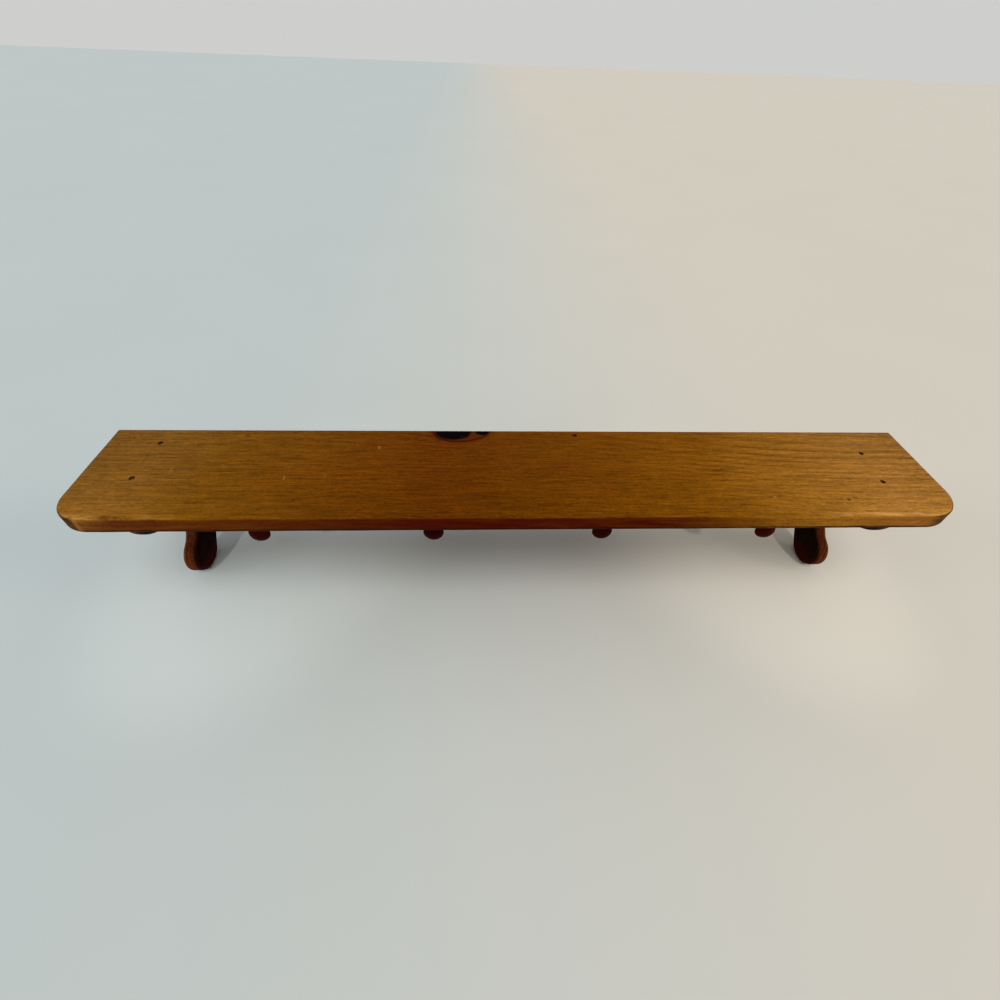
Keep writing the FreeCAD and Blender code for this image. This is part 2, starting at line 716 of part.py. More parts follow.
def check(doc, pieces):
    """Stops the script if any object failed or any piece isn't one solid."""
    for item in doc.Objects:
        if "Invalid" in item.State or "Error" in item.State:
            raise RuntimeError(f"{item.Name} is in state {item.State}")
        if item.TypeId == "Sketcher::SketchObject" and not item.FullyConstrained:
            raise RuntimeError(f"{item.Name} isn't fully constrained")
    for piece in pieces:
        shape = piece.body.Shape
        if shape.isNull() or not shape.isValid() or len(shape.Solids) != 1:
            raise RuntimeError(f"{piece.name} isn't one valid solid")


def main():
    """Builds every piece, checks them and writes one STEP file for each."""
    doc = FreeCAD.newDocument("shaker_peg_rail")
    sheet = make_sheet(doc)
    pieces = [make_shelf_board(doc, sheet), make_peg_rail(doc, sheet)]
    pieces += [make_bracket(doc, sheet, side) for side in (LEFT, RIGHT)]
    pieces += [make_peg(doc, sheet, number + 1) for number in range(SIZES["peg_count"])]
    pieces += make_nails(doc, sheet)
    doc.recompute()
    check(doc, pieces)

    os.makedirs("parts", exist_ok=True)
    for piece in pieces:
        piece.body.Shape.exportStep(f"parts/{piece.body.Label}.step")
        box = piece.body.Shape.optimalBoundingBox()
        print(f"{piece.name}: {piece.body.Shape.Volume:.0f} mm3, "
              f"X {box.XMin:.1f} to {box.XMax:.1f}, Y {box.YMin:.1f} to {box.YMax:.1f}, "
              f"Z {box.ZMin:.1f} to {box.ZMax:.1f}")


main()
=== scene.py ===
"""Dresses the shaker peg rail with shelf: stained pine, turned pegs and finishing nails.

Lengths are in metres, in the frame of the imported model: X runs along the rail, the wall is
Y = 0, the front faces -Y, and Z is up. Tones are written as 0 to 255 and made linear by paint.
"""
import logging
import math
from dataclasses import dataclass, field
from enum import Enum
from functools import partial
from typing import Callable, Optional, Sequence, Union

import bmesh
import bpy
from mathutils import Matrix, Vector, noise


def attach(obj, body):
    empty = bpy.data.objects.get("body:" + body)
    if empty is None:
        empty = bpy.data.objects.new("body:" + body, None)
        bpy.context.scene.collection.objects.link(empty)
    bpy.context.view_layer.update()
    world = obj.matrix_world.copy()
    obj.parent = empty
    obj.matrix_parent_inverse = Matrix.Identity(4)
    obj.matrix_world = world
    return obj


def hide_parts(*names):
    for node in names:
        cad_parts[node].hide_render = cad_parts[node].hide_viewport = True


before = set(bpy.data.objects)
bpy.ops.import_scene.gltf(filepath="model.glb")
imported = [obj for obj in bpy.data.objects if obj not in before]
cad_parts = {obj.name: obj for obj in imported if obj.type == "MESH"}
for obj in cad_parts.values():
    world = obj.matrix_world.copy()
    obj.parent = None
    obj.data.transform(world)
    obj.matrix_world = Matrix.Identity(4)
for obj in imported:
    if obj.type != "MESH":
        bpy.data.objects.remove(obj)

log = logging.getLogger("peg_rail_scene")

BODY = "root"
MM = 0.001
Tone = tuple[float, float, float, float]
Place = tuple[float, float, float]


def paint(red: float, green: float, blue: float) -> Tone:
    """Turns a tone that is written as 0 to 255 into a linear colour.

    Args:
        red: The red share of the tone.
        green: The green share.
        blue: The blue share.

    Returns:
        The linear colour, opaque.
    """
    shares = (part / 255 for part in (red, green, blue))
    linear = (s / 12.92 if s <= 0.04045 else ((s + 0.055) / 1.055) ** 2.4 for s in shares)
    return (*linear, 1.0)


# Node graphs


class Signal:
    """One output of a node, which can be added, scaled and compared like a number."""

    def __init__(self, graph: "Graph", socket: bpy.types.NodeSocket) -> None:
        """Keeps the graph that the output belongs to, and the output."""
        self.graph = graph
        self.socket = socket

    def __add__(self, other: "Value") -> "Signal":
        """Returns this plus another value."""
        return self.graph.maths("ADD", self, other)

    def __sub__(self, other: "Value") -> "Signal":
        """Returns this less another value."""
        return self.graph.maths("SUBTRACT", self, other)

    def __rsub__(self, other: "Value") -> "Signal":
        """Returns another value less this."""
        return self.graph.maths("SUBTRACT", other, self)

    def __mul__(self, other: "Value") -> "Signal":
        """Returns this times another value."""
        return self.graph.maths("MULTIPLY", self, other)

    def __truediv__(self, other: "Value") -> "Signal":
        """Returns this over another value."""
        return self.graph.maths("DIVIDE", self, other)

    def __pow__(self, other: "Value") -> "Signal":
        """Returns this to a power."""
        return self.graph.maths("POWER", self, other)

    def __abs__(self) -> "Signal":
        """Returns the size of this without its sign."""
        return self.graph.maths("ABSOLUTE", self)

    __radd__ = __add__
    __rmul__ = __mul__


Value = Union[Signal, float, Sequence[float]]
Axes = tuple[Signal, Signal, Signal]


class Graph:
    """A node tree that is built by expressions."""

    def __init__(self, tree: bpy.types.NodeTree) -> None:
        """Keeps the tree that the nodes go into."""
        self.tree = tree

    def node(
        self,
        kind: str,
        settings: Optional[dict] = None,
        inputs: Optional[dict] = None,
    ) -> bpy.types.Node:
        """Adds a node, sets it up and joins its inputs.

        Args:
            kind: The node's type.
            settings: Its own settings, such as operation, set before the inputs. The setting
                stops gives a colour ramp's places and colours.
            inputs: Values or signals by the input's name or number.

        Returns:
            The node.
        """
        node = self.tree.nodes.new(kind)
        for name, setting in (settings or {}).items():
            if name == "stops":
                self.set_stops(node.color_ramp, setting)
            else:
                setattr(node, name, setting)
        for key, value in (inputs or {}).items():
            if isinstance(value, Signal):
                self.tree.links.new(value.socket, node.inputs[key])
            else:
                node.inputs[key].default_value = value
        return node

    def add(
        self,
        kind: str,
        settings: Optional[dict] = None,
        inputs: Optional[dict] = None,
        output: Union[int, str] = 0,
    ) -> Signal:
        """Adds a node as node does, and returns one output by its name or number."""
        return Signal(self, self.node(kind, settings, inputs).outputs[output])

    @staticmethod
    def set_stops(ramp: bpy.types.ColorRamp, stops: Sequence[tuple[float, Tone]]) -> None:
        """Gives a colour ramp its stops.

        Args:
            ramp: The ramp, which has two stops to begin with.
            stops: Each stop's place from 0 to 1 and its colour.
        """
        while len(ramp.elements) < len(stops):
            ramp.elements.new(1.0)
        for element, (place, colour) in zip(ramp.elements, stops):
            element.position = place
            element.color = colour

    def maths(self, operation: str, *values: Value) -> Signal:
        """Adds a Math node with its inputs in order, and returns the result."""
        return self.add("ShaderNodeMath", {"operation": operation}, dict(enumerate(values)))

    def vector(self, operation: str, *values: Value) -> Signal:
        """Adds a Vector Math node with its inputs in order, and returns the vector."""
        settings = {"operation": operation}
        return self.add("ShaderNodeVectorMath", settings, dict(enumerate(values)))


class Shader(Graph):
    """A material's node tree, with the patterns that the finishes share."""

    def __init__(self, name: str) -> None:
        """Makes an empty material.

        Args:
            name: Its name.
        """
        self.material = bpy.data.materials.new(name)
        self.material.use_nodes = True
        self.material.node_tree.nodes.clear()
        super().__init__(self.material.node_tree)

    def place(self) -> Signal:
        """Returns the point on the object, in its own coordinates."""
        return self.add("ShaderNodeTexCoord", output="Object")

    def parts(self, vector: Signal) -> Axes:
        """Splits a vector.

        Args:
            vector: The vector.

        Returns:
            Its three coordinates.
        """
        first = self.add("ShaderNodeSeparateXYZ", {}, {0: vector}, "X")
        outputs = first.socket.node.outputs
        return first, Signal(self, outputs["Y"]), Signal(self, outputs["Z"])

    def joined(self, x: Value, y: Value, z: Value) -> Signal:
        """Joins three numbers into a vector."""
        return self.add("ShaderNodeCombineXYZ", {}, {"X": x, "Y": y, "Z": z})

    def larger(self, first: Value, second: Value) -> Signal:
        """Returns the larger of two values."""
        return self.maths("MAXIMUM", first, second)

    def noise(self, vector: Signal, scale: Value, detail: float = 2.0) -> Signal:
        """Adds soft noise from 0 to 1 about a half, with some waves a metre and finer layers."""
        inputs = {"Vector": vector, "Scale": scale, "Detail": detail}
        return self.add("ShaderNodeTexNoise", {"noise_dimensions": "3D"}, inputs, "Fac")

    def stretched(self, vector: Signal, waves: Place, detail: float = 2.0) -> Signal:
        """Adds noise with its own number of waves a metre along each axis."""
        return self.noise(self.vector("MULTIPLY", vector, waves), 1.0, detail)

    def grained(self, axes: Axes, waves: Place, detail: float = 2.0) -> Signal:
        """Adds noise with its own waves a metre along, across and below the grain."""
        return self.stretched(self.joined(*axes), waves, detail)

    def step(self, value: Signal, low: float, high: float) -> Signal:
        """Rises smoothly from 0 to 1 as a value goes from low to high.

        Args:
            value: The value.
            low: Where the rise starts. It may be more than high, and then it is a fall.
            high: Where the rise ends.

        Returns:
            The mask.
        """
        start, end = (0.0, 1.0) if low < high else (1.0, 0.0)
        return self.add(
            "ShaderNodeMapRange",
            {"interpolation_type": "SMOOTHSTEP"},
            {
                "Value": value,
                "From Min": min(low, high),
                "From Max": max(low, high),
                "To Min": start,
                "To Max": end,
            },
        )

    def band(self, value: Signal, middle: float, half: float, soft: float) -> Signal:
        """Is 1 up to half a width from a middle, and fades softly to 0 beyond it."""
        return self.step(abs(value - middle), half + soft, half)

    def mix(self, share: Value, first: Value, second: Value) -> Signal:
        """Mixes two colours, with a share of the second."""
        inputs = {0: share, 6: first, 7: second}
        return self.add("ShaderNodeMix", {"data_type": "RGBA"}, inputs, 2)

    def shade(self, colour: Value, share: Value) -> Signal:
        """Makes a colour lighter or darker, by what it is multiplied by."""
        inputs = {0: colour, "Scale": share}
        return self.add("ShaderNodeVectorMath", {"operation": "SCALE"}, inputs)

    def attribute(self, name: str, output: str = "Fac") -> Signal:
        """Reads an attribute of the mesh: Fac for a number, Vector for a vector."""
        return self.add("ShaderNodeAttribute", {"attribute_name": name}, {}, output)

    def away(
        self, pair: Sequence[Signal], middle: Sequence[float], reach: Sequence[float]
    ) -> Signal:
        """Measures how far a point is from a patch's middle, with 1 on the patch's rim.

        Args:
            pair: Two of the point's coordinates.
            middle: The patch's middle in them.
            reach: Half the patch's length along each.

        Returns:
            The distance.
        """
        aside, beyond = (
            (value - place) * (1 / half) for value, place, half in zip(pair, middle, reach)
        )
        return (aside * aside + beyond * beyond) ** 0.5

    def finished(
        self, colour: Value, roughness: Value, height: Signal, relief: float, gloss: dict
    ) -> bpy.types.Material:
        """Joins the surface to the material's output.

        Args:
            colour: The base colour.
            roughness: The roughness.
            height: The relief, from 0 to 1.
            relief: How deep it is.
            gloss: The shader's inputs that are the same all over.

        Returns:
            The material.
        """
        normal = self.add("ShaderNodeBump", {}, {"Distance": relief, "Height": height}, "Normal")
        inputs = {"Base Color": colour, "Roughness": roughness, "Normal": normal, **gloss}
        surface = self.add("ShaderNodeBsdfPrincipled", {}, inputs, "BSDF")
        self.node("ShaderNodeOutputMaterial", {}, {"Surface": surface})
        return self.material


class Recipe(Graph):
    """A geometry node tree with named inputs, which is run once into a plain mesh."""

    def __init__(self, name: str) -> None:
        """Makes a tree that takes a mesh and gives one.

        Args:
            name: Its name.
        """
        super().__init__(bpy.data.node_groups.new(name, "GeometryNodeTree"))
        self.values: dict = {}
        for way in ("INPUT", "OUTPUT"):
            self.tree.interface.new_socket(
                "Geometry", in_out=way, socket_type="NodeSocketGeometry"
            )
        self.entry = self.node("NodeGroupInput")

    def given(self) -> Signal:
        """Returns the mesh that the tree starts from."""
        return Signal(self, self.entry.outputs["Geometry"])

    def asks(self, name: str, kind: str, value: object) -> Signal:
        """Adds a named input.

        Args:
            name: Its name.
            kind: The socket's type.
            value: What the modifier gives it.

        Returns:
            The input, for other nodes.
        """
        socket = self.tree.interface.new_socket(name, in_out="INPUT", socket_type=kind)
        self.values[socket.identifier] = value
        return Signal(self, self.entry.outputs[name])

    def random(self, most: float, seed: Value) -> Signal:
        """Gives each element a random number from 0 to most."""
        inputs = {2: 0.0, 3: most, "Seed": seed}
        return self.add("FunctionNodeRandomValue", {"data_type": "FLOAT"}, inputs, 1)

    def stored(self, mesh: Signal, name: str, value: Signal, settings: dict) -> Signal:
        """Writes a named attribute, with the node's settings for its type and domain."""
        inputs = {"Geometry": mesh, "Name": name, "Value": value}
        return self.add("GeometryNodeStoreNamedAttribute", settings, inputs)

    def set_out(self, points: Signal, pattern: Signal, turn: Signal) -> Signal:
        """Sets a copy of a pattern on each point.

        Args:
            points: The points.
            pattern: What is copied.
            turn: The angles that each copy is turned by.

        Returns:
            The copies.
        """
        rotation = self.add("FunctionNodeEulerToRotation", {}, {"Euler": turn})
        inputs = {"Points": points, "Instance": pattern, "Rotation": rotation}
        return self.add("GeometryNodeInstanceOnPoints", {}, inputs)

    def run(self, result: Signal, material: Signal, carrier: bpy.types.Object) -> None:
        """Ends the tree and puts what it makes in the place of an object's mesh.

        Args:
            result: The instances that the tree made.
            material: Their material.
            carrier: The object with the mesh that the tree starts from.
        """
        real = self.add("GeometryNodeRealizeInstances", {}, {"Geometry": result})
        dressed = self.add(
            "GeometryNodeSetMaterial", {}, {"Geometry": real, "Material": material}
        )
        self.node("NodeGroupOutput", {}, {0: dressed})
        modifier = carrier.modifiers.new(self.tree.name, "NODES")
        modifier.node_group = self.tree
        for identifier, value in self.values.items():
            modifier[identifier] = value
        graph = bpy.context.evaluated_depsgraph_get()
        mesh = bpy.data.meshes.new_from_object(
            carrier.evaluated_get(graph), preserve_all_data_layers=True, depsgraph=graph
        )
        carrier.modifiers.clear()
        carrier.data = mesh
        mesh.name = carrier.name


# Shapes


def put_in_scene(name: str, data: bpy.types.ID) -> bpy.types.Object:
    """Makes an object of a mesh, light or camera and links it.

    Args:
        name: The object's name.
        data: The mesh, light or camera.

    Returns:
        The object, in the scene.
    """
    made = bpy.data.objects.new(name, data)
    bpy.context.scene.collection.objects.link(made)
    return made


class Shell:
    """A closed mesh that is put together from loops of points."""

    def __init__(self, *marks: str) -> None:
        """Starts an empty mesh, and names the numbers that its points carry."""
        self.mesh = bmesh.new()
        self.marks = [self.mesh.verts.layers.float.new(mark) for mark in marks]

    def point(self, place: Vector, *numbers: float) -> bmesh.types.BMVert:
        """Adds a point.

        Args:
            place: Where it is.
            numbers: The numbers that it carries, in the order of their names.

        Returns:
            The point.
        """
        made = self.mesh.verts.new(place)
        for mark, number in zip(self.marks, numbers):
            made[mark] = number
        return made

    def face(self, *points: bmesh.types.BMVert) -> None:
        """Adds a face."""
        self.mesh.faces.new(points)

    def bridge(self, first: list, second: list, closed: bool = False) -> None:
        """Joins two rows of points with four-sided faces.

        Args:
            first: One row.
            second: The other, as long.
            closed: Whether the rows are rings.
        """
        ahead = range(len(first)) if closed else range(len(first) - 1)
        for here in ahead:
            there = (here + 1) % len(first)
            self.face(first[here], first[there], second[there], second[here])

    def tube(self, rings: list) -> None:
        """Joins each ring to the next one."""
        for ring, following in zip(rings, rings[1:]):
            self.bridge(ring, following, closed=True)

    def fan(self, ring: list, tip: bmesh.types.BMVert) -> None:
        """Closes a ring with triangles to one point."""
        for here, point in enumerate(ring):
            self.face(point, ring[(here + 1) % len(ring)], tip)

    def cap(self, *rings: list) -> None:
        """Fills a flat face.

        Args:
            rings: The ring round it, and then the rings of the holes in it.
        """
        edges = []
        for ring in rings:
            for here, point in enumerate(ring):
                pair = (point, ring[(here + 1) % len(ring)])
                edges.append(self.mesh.edges.get(pair) or self.mesh.edges.new(pair))
        bmesh.ops.triangle_fill(self.mesh, use_beauty=True, edges=edges)

    def finish(self, name: str, crease: float = 36.0) -> bpy.types.Object:
        """Turns the faces outwards and makes an object of the mesh.

        Args:
            name: The object's name.
            crease: The angle in degrees from which an edge looks sharp.

        Returns:
            The object, in the scene.
        """
        bmesh.ops.recalc_face_normals(self.mesh, faces=self.mesh.faces[:])
        mesh = bpy.data.meshes.new(name)
        self.mesh.to_mesh(mesh)
        self.mesh.free()
        mesh.shade_smooth()
        mesh.set_sharp_from_angle(angle=math.radians(crease))
        return put_in_scene(name, mesh)


Track = list[tuple[Vector, Vector]]


def arc(centre: Vector, radius: float, start: float, end: float, steps: int) -> Track:
    """Samples an arc, with the way to the left of the travel along it.

    Args:
        centre: The arc's centre.
        radius: Its radius.
        start: The angle that it starts at, in radians.
        end: The angle that it ends at. Below start, it runs clockwise.
        steps: How many parts it is cut into.

    Returns:
        Each point and the direction to its left.
    """
    side = -1 if end > start else 1
    track = []
    for step in range(steps + 1):
        angle = start + (end - start) * step / steps
        out = Vector((math.cos(angle), math.sin(angle)))
        track.append((centre + radius * out, side * out))
    return track


def run(start: Vector, end: Vector, steps: int = 1) -> Track:
    """Samples a straight line, with the way to the left of the travel along it.

    Args:
        start: Where it starts.
        end: Where it ends.
        steps: How many parts it is cut into.

    Returns:
        Each point and the direction to its left.
    """
    ahead = (end - start).normalized()
    left = Vector((-ahead.y, ahead.x))
    return [(start.lerp(end, step / steps), left) for step in range(steps + 1)]


def circle(centre: Vector, radius: float, sides: int) -> list[Vector]:
    """Samples a circle, without coming back to its first point."""
    return [spot for spot, _ in arc(centre, radius, 0.0, math.tau, sides)[:-1]]


def bearing(start: Vector, end: Vector) -> float:
    """Returns the angle of the way from one point to another."""
    return math.atan2(end.y - start.y, end.x - start.x)


def joined_up(*tracks: Track) -> Track:
    """Joins tracks that meet smoothly, and keeps each meeting point once."""
    return list(tracks[0]) + [step for track in tracks[1:] for step in track[1:]]


class Facing(Enum):
    """How a slab's outline and thickness lie in the frame."""

    FLAT = "outline along X and Y, thickness along Z"
    UPRIGHT = "outline along Y and Z, thickness along X"

    def place(self, across: Vector, level: float) -> Vector:
        """Sets a point of the outline's plane at a level of the thickness.

        Args:
            across: The point in the outline's plane.
            level: Its level.

        Returns:
            The point in the frame.
        """
        if self is Facing.FLAT:
            return Vector((across.x, across.y, level))
        return Vector((level, across.x, across.y))


@dataclass(frozen=True)
class Bore:
    """A round hole down from a slab's face.

    Attributes:
        centre: Where it is on the face.
        rings: Its radius at each depth, from the mouth down.
    """

    centre: tuple[float, float]
    rings: tuple[tuple[float, float], ...]


@dataclass
class Slab:
    """A board whose edges are rounded along an open track and square elsewhere.

    Attributes:
        facing: How it lies.
        track: The rounded part of its outline, anticlockwise.
        corners: The square corners that close the outline.
        low: Where its low face is.
        high: Where its high face is.
        rounding: The arris radius at each point of the track.
        end_axis: Which coordinate of the outline the grain follows.
        bores: Holes right through.
        entry: The face that the holes start from.
        arc_steps: How many parts each rounding is cut into.
        support: The narrow flat strip beside each rounding.
        bore_sides: How many sides a hole has.
    """

    facing: Facing
    track: Track
    corners: list[Vector]
    low: float
    high: float
    rounding: Callable[[Vector, bool], float]
    end_axis: int
    bores: tuple[Bore, ...] = ()
    entry: float = 0.0
    arc_steps: int = 6
    support: float = 0.7 * MM
    bore_sides: int = 28

    def profile(self, place: Vector) -> list[tuple[float, float, float, float]]:
        """Works out the rounded edge at a point of the track.

        Args:
            place: The point.

        Returns:
            For each point of the edge from the low face to the high one, how far in it lies,
            its level, its arris mark and how far it has turned to the flank.
        """
        halves = []
        for upper, level, way in ((False, self.low, 1), (True, self.high, -1)):
            radius = self.rounding(place, upper)
            half = [(radius + self.support, level, 0.0, 0.0)]
            for step in range(self.arc_steps + 1):
                turn = math.pi / 2 * step / self.arc_steps
                half.append((
                    radius * (1 - math.sin(turn)),
                    level + way * radius * (1 - math.cos(turn)),
                    -way * math.sin(2 * turn),
                    math.sin(turn) ** 2,
                ))
            half.append((0.0, level + way * (radius + self.support), 0.0, 1.0))
            halves.append(half)
        return halves[0] + halves[1][::-1]

    def shell(self) -> tuple[Shell, list, list]:
        """Builds the sides and the bores' walls, and leaves the faces to close.

        Returns:
            The shell, its columns along the track and its square corners' points.
        """
        shell = Shell("arris", "flank", "end_grain")
        columns = []
        for place, inward in self.track:
            end = abs(inward[self.end_axis])
            columns.append([
                shell.point(
                    self.facing.place(place + inset * inward, level), mark, flank, end * flank
                )
                for inset, level, mark, flank in self.profile(place)
            ])
        for column, following in zip(columns, columns[1:]):
            shell.bridge(column, following)
        corners = [
            [shell.point(self.facing.place(corner, level)) for level in (self.low, self.high)]
            for corner in self.corners
        ]
        return shell, columns, corners

    def ring(self, shell: Shell, centre: Vector, radius: float, level: float) -> list:
        """Adds a ring of points in the outline's plane at a level."""
        spots = circle(centre, radius, self.bore_sides)
        return [shell.point(self.facing.place(spot, level)) for spot in spots]

    def build(self, name: str, close_top: Optional[Callable] = None) -> bpy.types.Object:
        """Builds the board.

        Args:
            name: The object's name.
            close_top: What closes the square side between the last corner and the track's
                start, where that isn't a plain face.

        Returns:
            The object.
        """
        shell, columns, corners = self.shell()
        exit_level = self.low if self.entry == self.high else self.high
        way = 1 if exit_level > self.entry else -1
        mouths, exits = [], []
        for bore in self.bores:
            rings = [
                self.ring(shell, Vector(bore.centre), radius, self.entry + way * depth)
                for radius, depth in bore.rings
            ]
            shell.tube(rings)
            mouths.append(rings[0])
            exits.append(rings[-1])
        lows = [column[0] for column in columns] + [pair[0] for pair in corners]
        highs = [column[-1] for column in columns] + [pair[1] for pair in corners]
        low_holes, high_holes = (exits, mouths) if self.entry == self.high else (mouths, exits)
        shell.cap(lows, *low_holes)
        shell.cap(highs, *high_holes)
        sides = [columns[-1], *corners, columns[0]]
        for side, following in zip(sides[:-2], sides[1:-1]):
            shell.cap(side + following[::-1])
        last = sides[-2] + sides[-1][::-1]
        if close_top:
            close_top(shell, last)
        else:
            shell.cap(last)
        return shell.finish(name)


def lathe(
    name: str, profile: Sequence[tuple[float, float]], axis: Vector, sides: int
) -> bpy.types.Object:
    """Turns a profile round an axis through the origin.

    Args:
        name: The object's name.
        profile: Each point's radius and its place along the axis, from pole to pole.
        axis: The axis.
        sides: How many sides the turned shape has.

    Returns:
        The object.
    """
    shell = Shell()
    first = axis.orthogonal().normalized()
    second = axis.cross(first)
    rings = [
        [
            shell.point(out.x * first + out.y * second + length * axis)
            for out in circle(Vector((0, 0)), radius, sides)
        ]
        for radius, length in profile[1:-1]
    ]
    shell.tube(rings)
    shell.fan(rings[0], shell.point(profile[0][1] * axis))
    shell.fan(rings[-1], shell.point(profile[-1][1] * axis))
    return shell.finish(name)


# Finishes


class Grain(Enum):
    """Which way the fibres of a piece run."""

    ALONG_RAIL = (0, 1, 2)
    UPRIGHT = (2, 1, 0)


@dataclass(frozen=True)
class Mark:
    """A patch of another tone on the board, seen from above.

    Attributes:
        place: Its middle along the board and from the wall.
        half_length: Half its length along the board, in millimetres.
        half_width: Half its width across the board, in millimetres.
        soft: How far its edge fades, as a share of its size.
        share: How much of its tone shows.
        tone: Its tone.
    """

    place: tuple[float, float]
    half_length: float
    half_width: float
    soft: float
    share: float
    tone: Tone


@dataclass(frozen=True)
class StainedPine:
    """Pine under a wiped stain and a satin varnish.

    Attributes:
        name: The material's name.
        grain: Which way the fibres run.
        pith: Where the tree's middle lies, across the grain and below.
        early: The tone of the wood that grows in spring.
        late: The tone of the narrow dark line that ends each year.
        ring_waves: How many years go into a metre.
        shift: Moves the noise, so that no two pieces look alike.
        satin: The roughness of the varnish.
        relief: How deep the grain is.
        sheen: How strongly the varnish mirrors, as the shader's specular level.
        end_shade: How much darker the end grain is.
    """

    name: str
    grain: Grain
    pith: tuple[float, float]
    early: Tone
    late: Tone
    ring_waves: float = 300.0
    shift: Place = (0.0, 0.0, 0.0)
    satin: float = 0.41
    relief: float = 0.12 * MM
    sheen: float = 0.015
    end_shade: float = 0.34

    def axes(self, shader: Shader, place: Signal) -> Axes:
        """Sorts the coordinates into along, across and below the grain."""
        parts = shader.parts(place)
        return tuple(parts[number] for number in self.grain.value)

    def years(self, shader: Shader, axes: Axes, wander: Signal) -> Signal:
        """Counts the growth rings from the tree's middle.

        Args:
            shader: The material's graph.
            axes: The coordinates along, across and below the grain.
            wander: Soft noise about 0.

        Returns:
            The number of years, with fractions.
        """
        across = axes[1] - self.pith[0]
        below = axes[2] - self.pith[1]
        radius = (across * across + below * below) ** 0.5
        return (radius + wander * 0.006) * self.ring_waves

    def late_wood(self, shader: Shader, years: Signal) -> Signal:
        """Turns the count of years into narrow dark lines, sharp on one side."""
        phase = shader.maths("FRACT", years)
        return shader.step(phase, 0.35, 0.9) * shader.step(phase, 1.0, 0.92)

    def contrast(self, shader: Shader, axes: Axes) -> Signal:
        """Says how strongly the lines show at each place."""
        patches = shader.grained(axes, (7.0, 30.0, 30.0), 1.0)
        return shader.step(patches, 0.2, 0.75) * 0.75 + 0.25

    def tone(self, shader: Shader, axes: Axes) -> Signal:
        """Gives the spring wood's tone at each place."""
        patches = shader.grained(axes, (5.0, 16.0, 16.0))
        return shader.shade(self.early[:3], patches * 0.3 + 0.85)

    def late_share(self) -> Place:
        """Returns what the late wood keeps of the spring wood's tone."""
        return tuple(dark / pale for dark, pale in zip(self.late[:3], self.early[:3]))

    def marked(self, shader: Shader, axes: Axes, colour: Signal) -> Signal:
        """Adds what only this piece has, such as knots, worn edges and painted shade."""
        return colour

    def make(self) -> bpy.types.Material:
        """Builds the material.

        Returns:
            The material.
        """
        shader = Shader(self.name)
        axes = self.axes(shader, shader.place())
        fibres = shader.joined(
            *self.axes(shader, shader.vector("ADD", shader.place(), self.shift))
        )
        wander = shader.stretched(fibres, (1.7, 9.0, 9.0), 1.0) - 0.5
        ripple = shader.stretched(fibres, (9.0, 120.0, 120.0), 1.0) - 0.5
        threads = shader.stretched(fibres, (24.0, 420.0, 420.0))
        streaks = shader.stretched(fibres, (80.0, 430.0, 430.0))
        specks = shader.stretched(fibres, (330.0, 800.0, 800.0), 1.0)
        pores = shader.step(shader.stretched(fibres, (130.0, 1500.0, 1500.0), 1.0), 0.6, 0.72)
        years = self.years(shader, axes, wander) + ripple * 0.35
        late = self.late_wood(shader, years) * self.contrast(shader, axes)
        base = self.tone(shader, axes)
        colour = shader.mix(late, base, shader.vector("MULTIPLY", base, self.late_share()))
        # The three noises average 1.425 together, so less 0.405 they leave the tone much as written
        fine = threads * 1.15 + (streaks + specks) * 0.85
        colour = shader.shade(colour, fine - 0.405 - pores * 0.1)
        colour = shader.shade(colour, 1.0 - shader.attribute("end_grain") * self.end_shade)
        colour = self.marked(shader, axes, colour)
        roughness = streaks * 0.1 + late * 0.05 + pores * 0.08 + self.satin
        height = late * 0.45 + streaks * 0.4 + threads * 0.2 - pores * 0.5
        gloss = {"Specular IOR Level": self.sheen}
        return shader.finished(colour, roughness, height, self.relief, gloss)


